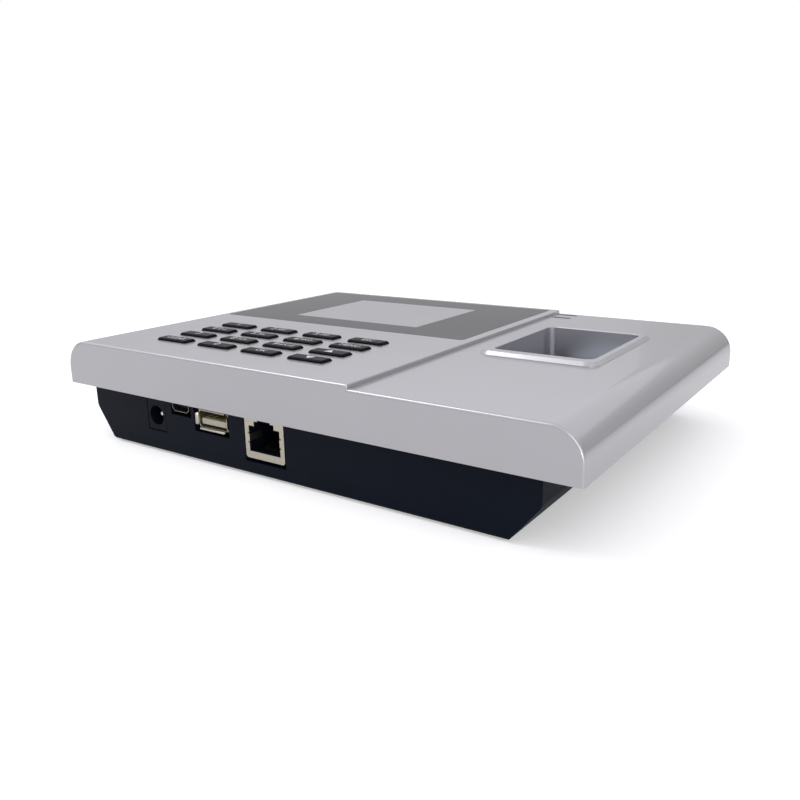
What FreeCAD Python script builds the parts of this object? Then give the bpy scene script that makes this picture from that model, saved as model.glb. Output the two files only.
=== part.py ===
"""Fingerprint and keypad attendance clock: a flat silver cover on a black wedge-sided housing.

Frame: +Z up out of the keypad, +X to the right when the keys are read, +Y away from the sockets.
The origin is the middle of the outline, on the surface that the rubber feet stand on.
Millimetres throughout.
"""
import FreeCAD, Part
import math
import os
import re
import Sketcher

Vector = FreeCAD.Vector

# ---------------------------------------------------------------------------------------------
# Driving dimensions: alias, value, meaning. Every other size and place is worked out from these.
# ---------------------------------------------------------------------------------------------
SIZES = [
    ("cover_length", 190.0, "silver cover, left to right"),
    ("cover_depth", 140.0, "silver cover, socket side to back"),
    ("right_rise", 14.0, "right field above the cover's lower edge"),
    ("field_step", 1.3, "keypad field above the right field"),
    ("right_field", 66.3, "width of the lower right field"),
    ("housing_drop", 19.0, "black housing below the cover's lower edge"),
    ("foot_proud", 0.7, "rubber feet below the housing"),
    ("left_round", 10.0, "big round along the left edge"),
    ("right_round", 9.0, "big round along the right edge"),
    ("edge_round", 0.8, "small round on the cover's front and back edges"),
    ("step_round", 0.5, "round on the step between the fields"),
    ("cover_wall", 2.2, "cover side wall"),
    ("top_wall", 2.6, "cover top wall"),
    ("fit_gap", 0.15, "gap round a piece let into a recess"),
    ("board_thick", 1.6, "circuit board"),
    # housing
    ("housing_wall", 2.0, "housing wall and floor"),
    ("left_margin", 9.3, "cover's left side to the housing"),
    ("right_margin", 11.2, "cover's right side to the housing"),
    ("end_margin", 3.2, "cover's front or back face to the housing"),
    ("left_slope_run", 7.9, "left slope, inwards"),
    ("left_slope_rise", 11.2, "left slope, height"),
    ("right_slope_run", 8.8, "right slope, inwards"),
    ("right_slope_rise", 10.8, "right slope, height"),
    ("bend_round", 3.0, "round where the side wall turns into the slope"),
    ("floor_round", 1.0, "round on the housing's bottom edges"),
    ("lip_gap", 0.3, "gap between the housing's rim and the cover wall"),
    ("lip_rise", 0.6, "rim's underside above the cover's lower edge"),
    ("lip_thick", 1.8, "rim thickness"),
    # screen
    ("window_left", 11.0, "cover's left side to the black window"),
    ("window_length", 109.5, "black window, left to right"),
    ("window_depth", 70.5, "black window, front to back"),
    ("window_back", 3.0, "black window to the cover's back face"),
    ("window_thick", 1.5, "black window, thickness"),
    ("window_corner", 1.5, "black window, corner radius"),
    ("frame_length", 69.2, "display frame, left to right"),
    ("frame_depth", 50.0, "display frame, front to back"),
    ("frame_high", 3.1, "display frame, height"),
    ("frame_wall", 0.8, "display frame, wall"),
    ("frame_lip", 0.4, "display frame, front lip"),
    ("view_length", 59.0, "opening in the display frame, left to right"),
    ("view_depth", 45.5, "opening in the display frame, front to back"),
    ("glass_thick", 1.2, "display glass"),
    ("display_gap", 0.1, "gap between cover and display frame"),
    ("tab_length", 5.4, "display board beyond the frame, each side"),
    # keypad
    ("key_pitch_x", 19.8, "key columns"),
    ("key_pitch_y", 9.9, "key rows"),
    ("key_front", 33.0, "cover's front face to the keypad's middle"),
    ("key_length", 14.0, "key cap, left to right"),
    ("key_depth", 5.0, "key cap, front to back"),
    ("key_proud", 0.8, "key cap above the keypad field"),
    ("key_corner", 0.6, "key cap corner radius"),
    ("key_bevel", 0.5, "bevel round the key cap's top"),
    ("key_rim", 0.8, "flange round the key, under the cover"),
    ("key_rim_thick", 1.2, "flange thickness"),
    ("key_gap", 0.1, "flange below the cover at rest"),
    ("key_travel", 0.8, "key stroke"),
    ("contact_gap", 0.06, "key foot above the contacts at full stroke"),
    ("key_foot_length", 8.0, "conductive foot under the key, left to right"),
    ("key_foot_depth", 3.0, "conductive foot under the key, front to back"),
    ("key_foot_high", 0.9, "conductive foot, height"),
    ("mat_thick", 1.0, "rubber sheet round the keys"),
    ("mat_gap", 0.4, "opening in the sheet round each key flange"),
    ("mat_margin", 1.6, "rubber sheet beyond the outer openings"),
    ("contact_thick", 0.04, "contact pads"),
    ("key_board_side", 2.0, "key board beyond the outer key flanges, left and right"),
    ("key_board_end", 4.6, "key board beyond the outer key flanges, front and back"),
    # finger well
    ("well_right", 38.65, "cover's right side to the finger well's middle"),
    ("well_front", 82.75, "cover's front face to the finger well's middle"),
    ("well_length", 33.1, "finger well, left to right"),
    ("well_depth", 44.5, "finger well, front to back"),
    ("well_corner", 2.8, "finger well corner radius"),
    ("well_wall", 1.9, "finger well wall below the cover"),
    ("rim_high", 1.2, "raised rim above the right field"),
    ("rim_side", 3.2, "rim width, left and right"),
    ("rim_front", 4.8, "rim width, front"),
    ("rim_rear", 3.0, "rim width, back"),
    ("rim_slope", 1.1, "bevel round the rim"),
    ("well_edge", 0.3, "bevel on the well's top edge"),
    ("rim_corner", 4.4, "rim outer corner radius"),
    ("sensor_top", 1.6, "sensor housing's top above the cover's lower edge"),
    ("sensor_step", 1.4, "sensor platform standing up into the well"),
    ("sensor_floor", 5.0, "sensor housing above the housing floor"),
    ("sensor_side", 3.0, "sensor housing beyond the well, each side"),
    ("sensor_wall", 1.6, "sensor housing wall"),
    ("prism_length", 24.0, "sensor glass, left to right"),
    ("prism_depth", 34.0, "sensor glass, front to back"),
    ("prism_high", 6.0, "sensor glass, height"),
    ("prism_sink", 0.2, "sensor glass below the platform"),
    ("ear_length", 5.4, "sensor housing fixing ear"),
    ("ear_depth", 7.0, "sensor housing fixing ear, front to back"),
    ("ear_spread", 37.0, "fixing ears, front to back between middles"),
    # indicator
    ("slot_length", 8.0, "indicator slot"),
    ("slot_width", 2.0, "indicator slot"),
    ("slot_first", 3.5, "cover's back face to the rear slot"),
    ("slot_pitch", 6.6, "between the indicator slots"),
    ("slot_step", 0.8, "step to the slots"),
    ("guide_thick", 1.0, "base of the indicator light guide"),
    ("guide_margin", 0.75, "light guide beyond its slots"),
    ("guide_sink", 0.6, "light guide below the right field"),
    # main board and its sockets
    ("board_left", 31.0, "cover's left side to the main board"),
    ("board_front", 6.0, "cover's front face to the main board"),
    ("board_length", 87.0, "main board, left to right"),
    ("board_depth", 64.0, "main board, front to back"),
    ("board_inset_x", 2.6, "main board edge to its screws, left and right"),
    ("board_inset_y", 2.3, "main board edge to its screws, front"),
    ("jack_x", 40.9, "cover's left side to the power jack"),
    ("jack_width", 8.5, "power jack"),
    ("jack_drop", 11.8, "power jack below the board"),
    ("jack_deep", 14.0, "power jack, front to back"),
    ("jack_bore", 3.3, "power jack bore radius"),
    ("jack_bore_drop", 6.8, "power jack bore below the board"),
    ("jack_bore_deep", 10.5, "power jack bore depth"),
    ("jack_pin", 1.0, "power jack pin radius"),
    ("jack_pin_inset", 1.8, "power jack pin behind the face"),
    ("mini_x", 53.0, "cover's left side to the small service socket"),
    ("mini_width", 7.7, "small service socket"),
    ("mini_drop", 3.9, "small service socket below the board"),
    ("mini_deep", 9.2, "small service socket, front to back"),
    ("mini_wall", 0.18, "sheet metal of the small service socket"),
    ("mini_corner", 1.0, "bevel on the service socket's lower corners"),
    ("host_x", 66.8, "cover's left side to the stick socket"),
    ("host_width", 13.1, "stick socket shell"),
    ("host_high", 5.7, "stick socket shell, height"),
    ("host_top", 2.05, "stick socket shell below the board"),
    ("host_deep", 14.0, "stick socket, front to back"),
    ("host_flare", 0.75, "flared mouth of the stick socket"),
    ("host_flare_deep", 1.1, "flared mouth, front to back"),
    ("tongue_thick", 1.84, "stick socket tongue"),
    ("tongue_gap", 0.75, "stick socket tongue above the shell's floor"),
    ("net_x", 89.35, "cover's left side to the network socket"),
    ("net_width", 15.7, "network socket"),
    ("net_drop", 13.65, "network socket below the board"),
    ("net_deep", 21.0, "network socket, front to back"),
    ("net_cavity", 12.0, "network plug opening, width"),
    ("net_cavity_high", 7.7, "network plug opening, height"),
    ("net_floor", 2.4, "network plug opening above the socket's bottom"),
    ("net_latch_wide", 7.6, "wide latch notch"),
    ("net_latch_high", 1.5, "wide latch notch"),
    ("net_latch_slim", 4.8, "narrow latch notch"),
    ("net_latch_top", 1.0, "narrow latch notch"),
    ("net_plug_deep", 13.0, "network plug opening, depth"),
    ("net_corner", 1.0, "network socket, lower corner radius"),
    ("spring_low", 5.15, "side spring above the network socket's bottom"),
    ("spring_high", 2.5, "side spring, height"),
    ("spring_deep", 5.4, "side spring, front to back"),
    ("spring_nick", 0.4, "nick above and below each side spring"),
    ("spring_thick", 0.24, "side spring, sheet"),
    ("spring_set", 0.2, "side spring outside the plug opening"),
    ("shell_wall", 0.3, "sheet metal of the sockets"),
    ("port_gap", 0.4, "gap round the sockets at the sides"),
    ("port_under", 1.3, "gap under the tall sockets"),
    # fixings
    ("case_inset_left", 21.5, "cover's left side to the case screws"),
    ("case_inset_right", 24.5, "cover's right side to the case screws"),
    ("case_inset_end", 12.5, "cover's front or back face to the case screws"),
    ("well_hole", 3.2, "screw well radius in the housing floor"),
    ("pillar_wall", 1.0, "wall round the screw well"),
    ("pillar_top", 4.0, "pillar's top below the cover's lower edge"),
    ("pillar_roof", 2.0, "pillar roof that the screw head pulls on"),
    ("boss_gap", 0.1, "cover boss above the pillar"),
    ("case_boss", 3.2, "case screw boss radius"),
    ("case_shank", 1.5, "case screw thread radius"),
    ("case_head", 2.8, "case screw head radius"),
    ("case_grip", 11.0, "case screw thread in the boss"),
    ("small_boss", 1.8, "small screw boss radius"),
    ("small_shank", 0.8, "small screw thread radius"),
    ("small_head", 1.6, "small screw head radius"),
    ("small_grip", 2.4, "small screw thread in its boss"),
    ("head_high", 1.2, "small screw head"),
    ("recess_arm", 0.22, "half width of the cross recess in the screw heads"),
    ("case_head_high", 2.2, "case screw head"),
    ("thread_gap", 0.04, "screw thread in its hole, on radius"),
    ("screw_clear", 0.3, "screw in a clearance hole, on radius"),
    ("boss_clear", 0.3, "board or sheet round a boss"),
    # housing fittings
    ("foot_radius", 5.0, "rubber foot radius"),
    ("foot_sink", 0.9, "rubber foot let into the floor"),
    ("foot_spread_x", 129.0, "rubber feet, left to right"),
    ("foot_spread_y", 90.0, "rubber feet, front to back"),
    ("hang_spread", 90.0, "between the wall-hanging keyholes"),
    ("hang_clear", 2.0, "sensor housing to the keyhole pockets"),
    ("hang_room", 0.6, "room round the screw head in the pocket"),
    ("hang_radius", 4.2, "keyhole, screw head radius"),
    ("hang_slot", 2.2, "keyhole slot, half width"),
    ("hang_run", 8.0, "keyhole slot, middle to middle"),
    ("hang_pocket", 4.5, "room for the screw head"),
    ("hang_wall", 1.2, "wall of the keyhole pocket"),
    ("speaker_x", 33.0, "loudspeaker right of the middle"),
    ("speaker_front", 32.0, "cover's front face to the loudspeaker"),
    ("speaker_radius", 14.0, "loudspeaker radius"),
    ("speaker_high", 5.2, "loudspeaker height"),
    ("ring_wall", 1.4, "ring that holds the loudspeaker"),
    ("ring_gap", 0.2, "loudspeaker in its ring"),
    ("grille_pitch", 3.4, "between the sound slots"),
    ("grille_width", 1.6, "sound slot"),
    ("cell_radius", 6.25, "clock battery radius"),
    ("cell_thick", 2.0, "clock battery"),
    ("cell_x", 77.0, "board's left edge to the battery"),
    ("cell_y", 48.0, "board's front edge to the battery"),
    ("ribbon_thick", 0.3, "flat cable"),
    ("ribbon_bend", 1.5, "flat cable bend radius"),
    ("plug_high", 2.0, "cable plug height"),
    ("plug_deep", 4.0, "cable plug, front to back"),
]

# Places and sizes that follow from the driving dimensions, each written once.
PLACES = {
    "left_side": "-cover_length / 2",
    "right_side": "cover_length / 2",
    "front_side": "-cover_depth / 2",
    "back_side": "cover_depth / 2",
    "seam": "foot_proud + housing_drop",
    "right_top": "seam + right_rise",
    "left_top": "right_top + field_step",
    "step_x": "right_side - right_field",
    "left_under": "left_top - top_wall",
    "right_under": "right_top - top_wall",
    "floor_low": "foot_proud",
    "floor_high": "foot_proud + housing_wall",
    "house_left": "left_side + left_margin",
    "house_right": "right_side - right_margin",
    "house_front": "front_side + end_margin",
    "house_back": "back_side - end_margin",
    "rim_low": "seam + lip_rise",
    "rim_top": "rim_low + lip_thick",
    "window_x": "left_side + window_left + window_length / 2",
    "window_y": "back_side - window_back - window_depth / 2",
    "recess_floor": "left_top - window_thick",
    "frame_top": "left_under - display_gap",
    "frame_low": "frame_top - frame_high",
    "glass_top": "frame_top - frame_lip",
    "display_board_top": "frame_low - display_gap",
    "display_tab_x": "frame_length / 2 + tab_length / 2",
    "key_x": "window_x",
    "key_y": "front_side + key_front",
    "cap_top": "left_top + key_proud",
    "key_rim_top": "left_under - key_gap",
    "key_rim_low": "key_rim_top - key_rim_thick",
    "key_foot_low": "key_rim_low - key_foot_high",
    "contact_top": "key_foot_low - key_travel - contact_gap",
    "key_board_top": "contact_top - contact_thick",
    "key_board_half_x": "1.5 * key_pitch_x + key_length / 2 + key_rim + key_board_side",
    "key_board_half_y": "1.5 * key_pitch_y + key_depth / 2 + key_rim + key_board_end",
    "mat_half_x": "1.5 * key_pitch_x + key_length / 2 + key_rim + mat_gap + mat_margin",
    "mat_half_y": "1.5 * key_pitch_y + key_depth / 2 + key_rim + mat_gap + mat_margin / 2",
    "key_screw_y": "key_board_half_y - small_boss - 0.4",
    "well_x": "right_side - well_right",
    "well_y": "front_side + well_front",
    "well_top": "right_top + rim_high",
    "well_low": "seam + sensor_top",
    "platform_top": "well_low + sensor_step",
    "sensor_low": "floor_high + sensor_floor",
    "sensor_half_x": "well_length / 2 + sensor_side",
    "sensor_half_y": "well_depth / 2 + sensor_side",
    "ear_x": "sensor_half_x + ear_length / 2",
    "slot_left": "step_x + slot_step",
    "slot_rear": "back_side - slot_first",
    "guide_low": "right_under - guide_thick",
    "lamp_board_top": "guide_low - 1.6",
    "main_top": "seam + board_thick",
    "main_left": "left_side + board_left",
    "main_front": "front_side + board_front",
    "main_right": "main_left + board_length",
    "main_back": "main_front + board_depth",
    "jack_mid": "left_side + jack_x",
    "mini_mid": "left_side + mini_x",
    "host_mid": "left_side + host_x",
    "net_mid": "left_side + net_x",
    "net_bottom": "seam - net_drop",
    "cavity_low": "net_bottom + net_floor",
    "cavity_high": "cavity_low + net_cavity_high",
    "notch_high": "cavity_high + net_latch_high",
    "notch_top": "notch_high + net_latch_top",
    "host_low": "seam - host_top - host_high",
    "host_high_z": "seam - host_top",
    "tongue_low": "host_low + shell_wall + tongue_gap",
    "tongue_high": "tongue_low + tongue_thick",
    "spring_bottom": "net_bottom + spring_low",
    "spring_top": "spring_bottom + spring_high",
    "pillar_high": "seam - pillar_top",
    "head_seat": "pillar_high - pillar_roof",
    "foot_mid_x": "(house_left + left_slope_run + house_right - right_slope_run) / 2",
    "hang_outer": "hang_radius + hang_room + hang_wall",
    "hang_y": "well_y + sensor_half_y + hang_clear + hang_outer",
    "speaker_y": "front_side + speaker_front",
    "cell_mid_x": "main_left + cell_x",
    "cell_mid_y": "main_front + cell_y",
}

ALIASES = {alias for alias, value, meaning in SIZES}
WORD = re.compile(r"[A-Za-z_][A-Za-z_0-9]*")

doc = FreeCAD.newDocument("AttendanceClock")
sheet = doc.addObject("Spreadsheet::Sheet", "Sizes")
for row, (alias, value, meaning) in enumerate(SIZES, 1):
    sheet.set(f"A{row}", meaning)
    sheet.set(f"B{row}", str(value))
    sheet.setAlias(f"B{row}", alias)
doc.recompute()

NODES = []


# ---------------------------------------------------------------------------------------------
# Helpers. A size or place is written as text, such as "seam + 2", and bound to the sheet.
# ---------------------------------------------------------------------------------------------
def bound(text):
    """Spell a size out as a FreeCAD expression on the sheet's cells."""
    def word(match):
        name = match.group(0)
        if name in PLACES:
            return "(" + bound(PLACES[name]) + ")"
        if name in ALIASES:
            return "Sizes." + name
        return name
    return WORD.sub(word, str(text))


def number(text):
    """The present value of a size written as text."""
    return float(sheet.evalExpression(bound(text)))


def bind(thing, prop, text):
    thing.setExpression(prop, bound(text))


def place(thing, x="0", y="0", z="0"):
    for letter, text in (("x", x), ("y", y), ("z", z)):
        bind(thing, f"Placement.Base.{letter}", text)


def block(name, x, y, z):
    """A box between two places along each axis."""
    box = doc.addObject("Part::Box", name)
    for prop, (low, high) in (("Length", x), ("Width", y), ("Height", z)):
        bind(box, prop, f"({high}) - ({low})")
    place(box, x[0], y[0], z[0])
    return box


def slab(name, middle, half, z):
    """A box round a middle point, with half sizes in X and Y."""
    (mx, my), (hx, hy) = middle, half
    return block(name, (f"{mx} - ({hx})", f"{mx} + ({hx})"), (f"{my} - ({hy})", f"{my} + ({hy})"), z)


def rod(name, x, y, z, radius):
    """An upright cylinder between two heights."""
    post = doc.addObject("Part::Cylinder", name)
    bind(post, "Radius", radius)
    bind(post, "Height", f"({z[1]}) - ({z[0]})")
    place(post, x, y, z[0])
    return post


def rod_back(name, x, z, y, radius):
    """A cylinder lying along +Y between two places."""
    post = doc.addObject("Part::Cylinder", name)
    post.Placement.Rotation = FreeCAD.Rotation(Vector(1, 0, 0), -90)
    bind(post, "Radius", radius)
    bind(post, "Height", f"({y[1]}) - ({y[0]})")
    place(post, x, y[0], z)
    return post


def join(name, pieces):
    whole = doc.addObject("Part::MultiFuse", name)
    whole.Shapes = pieces
    return whole


def gather(name, pieces):
    """Separate solids kept together as one group."""
    group = doc.addObject("Part::Compound", name)
    group.Links = pieces
    return group


def cut(name, base, tools):
    rest = doc.addObject("Part::Cut", name)
    rest.Base = base
    rest.Tool = tools[0] if len(tools) == 1 else gather(name + "_tools", tools)
    return rest


PLANES = {  # plane role, sign of its normal along the world axis
    "XY_Plane": 1,
    "XZ_Plane": -1,
    "YZ_Plane": 1,
}


def prism(name, role, outline, low, high):
    """A PartDesign body: an outline on an origin plane, padded from low to high along its axis."""
    body = doc.addObject("PartDesign::Body", name)
    plane = [item for item in body.Origin.OriginFeatures if item.Role == role][0]
    sketch = body.newObject("Sketcher::SketchObject", name + "_outline")
    sketch.AttachmentSupport = [(plane, "")]
    sketch.MapMode = "FlatFace"
    sign = PLANES[role]
    bind(sketch, ".AttachmentOffset.Base.z", f"{sign} * ({low})")
    points = [Vector(number(a), number(b), 0) for a, b in outline]
    count = len(points)
    for index in range(count):
        sketch.addGeometry(Part.LineSegment(points[index], points[(index + 1) % count]))
    for index in range(count):
        sketch.addConstraint(Sketcher.Constraint("Coincident", index, 2, (index + 1) % count, 1))
    for index, corner in enumerate(outline):
        for kind, text in zip(("DistanceX", "DistanceY"), corner):
            rule = Sketcher.Constraint(kind, -1, 1, index, 1, number(text))
            sketch.renameConstraint(sketch.addConstraint(rule), f"{kind}{index}")
            bind(sketch, f"Constraints.{kind}{index}", text)
    pad = body.newObject("PartDesign::Pad", name + "_pad")
    pad.Profile = sketch
    pad.Reversed = sign < 0
    bind(pad, "Length", f"({high}) - ({low})")
    doc.recompute()
    return body


def dress(body, kind, size, chosen):
    """Round or bevel the edges of a body that the chosen test picks by middle and direction."""
    names = []
    for index, edge in enumerate(body.Shape.Edges, 1):
        middle = edge.valueAt((edge.FirstParameter + edge.LastParameter) / 2)
        along = edge.tangentAt((edge.FirstParameter + edge.LastParameter) / 2)
        if chosen(middle, along):
            names.append(f"Edge{index}")
    base = body.Tip
    feature = body.newObject(kind, f"{body.Name}_edge{len(body.Group)}")
    feature.Base = (base, names)
    bind(feature, "Radius" if kind.endswith("Fillet") else "Size", size)
    doc.recompute()
    return body


FILLET = "PartDesign::Fillet"
CHAMFER = "PartDesign::Chamfer"


def upright(middle, along):
    return abs(along.z) > 0.999


def near(value, text):
    return abs(value - number(text)) < 1e-4


def rectangle(x, y):
    return [(x[0], y[0]), (x[1], y[0]), (x[1], y[1]), (x[0], y[1])]


def rounded(name, x, y, z, radius):
    """A plate with rounded upright corners."""
    return dress(prism(name, "XY_Plane", rectangle(x, y), z[0], z[1]), FILLET, radius, upright)


def span(middle, half):
    """Two places at the same distance either side of a middle."""
    return (f"{middle} - ({half})", f"{middle} + ({half})")


def node(thing, label):
    """Give a finished sub-part the name of its file."""
    thing.Label = label
    NODES.append(thing)
    return thing


def screw(name, x, y, seat, head, head_high, shank, length):
    """A pan-head screw driven upwards, its head under the seat, with a cross recess."""
    body = join(name + "_solid", [
        rod(name + "_head", x, y, (f"{seat} - {head_high}", seat), head),
        rod(name + "_shank", x, y, (f"{seat} - {head_high} / 2", f"{seat} + {length}"), shank),
    ])
    deep = (f"{seat} - {head_high}", f"{seat} - {head_high} / 2")
    arms = [
        slab(name + "_arm_x", (x, y), (f"{head} * 0.55", "recess_arm"), deep),
        slab(name + "_arm_y", (x, y), ("recess_arm", f"{head} * 0.55"), deep),
    ]
    return cut(name, body, arms)


SMALL_SCREWS = []


def small_screws(name, places, seat, grip_from):
    """Small screws through a board, into bosses that start at grip_from; all share one group."""
    length = f"({grip_from} - ({seat})) + small_grip"
    for index, (x, y) in enumerate(places, 1):
        SMALL_SCREWS.append(screw(f"{name}_{index}", x, y, seat, "small_head", "head_high",
                                  "small_shank", length))


def clear_holes(name, places, z):
    """Clearance holes for small screws."""
    return [rod(f"{name}_{index}", x, y, z, "small_shank + screw_clear")
            for index, (x, y) in enumerate(places, 1)]


def corners(middle, half):
    (mx, my), (hx, hy) = middle, half
    return [(f"{mx} + {sx} * ({hx})", f"{my} + {sy} * ({hy})") for sy in (-1, 1) for sx in (-1, 1)]


# ---------------------------------------------------------------------------------------------
# Where things repeat
# ---------------------------------------------------------------------------------------------
KEYS = [(f"key_x + {column - 1.5} * key_pitch_x", f"key_y + {line - 1.5} * key_pitch_y")
        for line in range(4) for column in range(4)]
KEY_SCREWS = corners(("key_x", "key_y"), ("key_pitch_x", "key_screw_y"))
DISPLAY_SCREWS = corners(("window_x", "window_y"), ("display_tab_x", "frame_depth / 2 - 4"))
SENSOR_SCREWS = corners(("well_x", "well_y"), ("ear_x", "ear_spread / 2"))
BOARD_SCREWS = [
    ("main_left + board_inset_x", "main_front + board_inset_y"),
    ("main_right - board_inset_x", "main_front + board_inset_y"),
    ("main_left + board_inset_x", "main_back - board_inset_x"),
    ("main_right - board_inset_x", "main_back - board_inset_x"),
]
CASE_SCREWS = [(x, y) for y in ("front_side + case_inset_end", "back_side - case_inset_end")
               for x in ("left_side + case_inset_left", "right_side - case_inset_right")]
CASE_UNDERS = ["left_under", "right_under"] * 2
LAMP_SCREW = [("slot_left + slot_length / 2", "slot_rear - slot_pitch - 10")]
SLOTS = ["slot_rear", "slot_rear - slot_pitch"]
HANGERS = [f"{side} * hang_spread / 2" for side in (-1, 1)]


# ---------------------------------------------------------------------------------------------
# Front cover: two fields a step apart, hollow below, with wells, holes and screw bosses
# ---------------------------------------------------------------------------------------------
def cover_field(name, x, top, outer_x, outer_round):
    """One field of the cover: a slab whose outer long edge has the big round."""
    outline = [(x[0], "seam"), (x[1], "seam"), (x[1], top), (x[0], top)]
    body = prism(name, "XZ_Plane", outline, "front_side", "back_side")
    dress(body, FILLET, outer_round,
          lambda middle, along: abs(along.y) > 0.9 and near(middle.x, outer_x) and near(middle.z, top))
    dress(body, FILLET, "edge_round",
          lambda middle, along: abs(along.y) < 0.1 and middle.z > number("seam") + 0.1
          and (near(middle.y, "front_side") or near(middle.y, "back_side"))
          and abs(middle.x - number("step_x")) > 6)
    return body


def cover_hollow():
    """The space under both fields, with the big rounds followed inside."""
    side = ("left_side + cover_wall", "right_side - cover_wall")
    inner_step = "step_x - top_wall + field_step"
    outline = [(side[0], "seam - 1"), (side[1], "seam - 1"), (side[1], "right_under"),
               (inner_step, "right_under"), (inner_step, "left_under"), (side[0], "left_under")]
    body = prism("cover_hollow", "XZ_Plane", outline, "front_side + cover_wall", "back_side - cover_wall")
    for place_x, height, radius in ((side[0], "left_under", "left_round - top_wall"),
                                    (side[1], "right_under", "right_round - top_wall")):
        dress(body, FILLET, radius,
              lambda middle, along: abs(along.y) > 0.9 and near(middle.x, place_x)
              and near(middle.z, height))
    return body


def well_rim():
    """The raised, sloped rim round the finger well."""
    x = ("well_x - well_length / 2 - rim_side", "well_x + well_length / 2 + rim_side")
    y = ("well_y - well_depth / 2 - rim_front", "well_y + well_depth / 2 + rim_rear")
    rim = rounded("well_rim", x, y, ("right_under", "well_top"), "rim_corner")
    return dress(rim, CHAMFER, "rim_slope",
                 lambda middle, along: near(middle.z, "well_top"))


def well_edge():
    """Takes a bevel off the top edge of the finger well."""
    x = span("well_x", "well_length / 2 + well_edge")
    y = span("well_y", "well_depth / 2 + well_edge")
    tool = rounded("well_edge_tool", x, y, ("well_top - well_edge", "well_top + 1"),
                   "well_corner + well_edge")
    return dress(tool, CHAMFER, "well_edge",
                 lambda middle, along: near(middle.z, "well_top - well_edge"))


def bosses(name, places, low, high, radius):
    return [rod(f"{name}_{index}", x, y, (low, high), radius)
            for index, (x, y) in enumerate(places, 1)]


def pilots(name, places, low, depth, shank):
    """Blind pilot holes that start at a boss's end."""
    return [rod(f"{name}_{index}", x, y, (f"{low} - 1", f"{low} + {depth}"), f"{shank} + thread_gap")
            for index, (x, y) in enumerate(places, 1)]


def front_cover():
    left = cover_field("left_field", ("left_side", "step_x"), "left_top", "left_side", "left_round")
    dress(left, FILLET, "step_round",
          lambda middle, along: abs(along.y) > 0.9 and near(middle.x, "step_x")
          and near(middle.z, "left_top"))
    right = cover_field("right_field", ("step_x - 5", "right_side"), "right_top",
                        "right_side", "right_round")
    shell = cut("cover_shell", join("cover_fields", [left, right]), [cover_hollow()])
    well_half = ("well_length / 2 + well_wall", "well_depth / 2 + well_wall")
    well_tube = rounded("well_tube", span("well_x", well_half[0]), span("well_y", well_half[1]),
                        ("well_low", "right_under + 0.5"), "well_corner + well_wall")
    case_low = "pillar_high + boss_gap"
    case_posts = [rod(f"case_boss_{index}", x, y, (case_low, f"{under} + 0.5"), "case_boss")
                  for index, ((x, y), under) in enumerate(zip(CASE_SCREWS, CASE_UNDERS), 1)]
    solid = join("cover_solid", [shell, well_rim(), well_tube] + case_posts
                 + bosses("key_boss", KEY_SCREWS, "key_board_top", "left_under + 0.5", "small_boss")
                 + bosses("display_boss", DISPLAY_SCREWS, "display_board_top", "left_under + 0.5",
                          "small_boss")
                 + bosses("board_boss", BOARD_SCREWS, "main_top", "left_under + 0.5", "small_boss")
                 + bosses("sensor_boss", SENSOR_SCREWS, "well_low", "right_under + 0.5", "small_boss")
                 + bosses("lamp_boss", LAMP_SCREW, "lamp_board_top", "right_under + 0.5",
                          "small_boss"))
    recess = rounded("window_recess",
                     span("window_x", "window_length / 2 + fit_gap"),
                     span("window_y", "window_depth / 2 + fit_gap"),
                     ("recess_floor", "left_top + 1"), "window_corner + fit_gap")
    view = rounded("window_view", span("window_x", "view_length / 2 + 1"),
                   span("window_y", "view_depth / 2 + 1"), ("left_under - 1", "recess_floor + 0.5"), "1")
    well = rounded("well_opening", span("well_x", "well_length / 2"), span("well_y", "well_depth / 2"),
                   ("well_low - 1", "well_top + 1"), "well_corner")
    key_holes = [rounded(f"key_hole_{index}", span(x, "key_length / 2 + fit_gap"),
                         span(y, "key_depth / 2 + fit_gap"), ("left_under - 1", "left_top + 1"),
                         "key_corner + fit_gap")
                 for index, (x, y) in enumerate(KEYS, 1)]
    slots = [rounded(f"lamp_slot_{index}", ("slot_left", "slot_left + slot_length"),
                     span(y, "slot_width / 2"), ("right_under - 1", "right_top + 1"),
                     "slot_width / 2 - 0.02")
             for index, y in enumerate(SLOTS, 1)]
    holes = (pilots("case_pilot", CASE_SCREWS, case_low, "case_grip + 1", "case_shank")
             + pilots("key_pilot", KEY_SCREWS, "key_board_top", "small_grip + 0.2", "small_shank")
             + pilots("display_pilot", DISPLAY_SCREWS, "display_board_top", "small_grip + 0.2",
                      "small_shank")
             + pilots("board_pilot", BOARD_SCREWS, "main_top", "small_grip + 1", "small_shank")
             + pilots("sensor_pilot", SENSOR_SCREWS, "well_low", "small_grip + 1", "small_shank")
             + pilots("lamp_pilot", LAMP_SCREW, "lamp_board_top", "small_grip + 0.2", "small_shank"))
    cover = cut("cover", solid, [recess, view, well, well_edge()] + key_holes + slots + holes)
    node(cover, "front_cover")


# ---------------------------------------------------------------------------------------------
# Rear housing: a tub with sloped sides, a flat rim under the cover, and an open front for sockets
# ---------------------------------------------------------------------------------------------
def slope_offset(run, rise, wall):
    """How far a slope's corners move when the wall is taken off its inside: up, and in."""
    length = f"sqrt({run} * {run} + {rise} * {rise})"
    return f"{wall} * ({length} - {rise}) / {run}", f"{wall} * ({length} - {run}) / {rise}"


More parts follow.
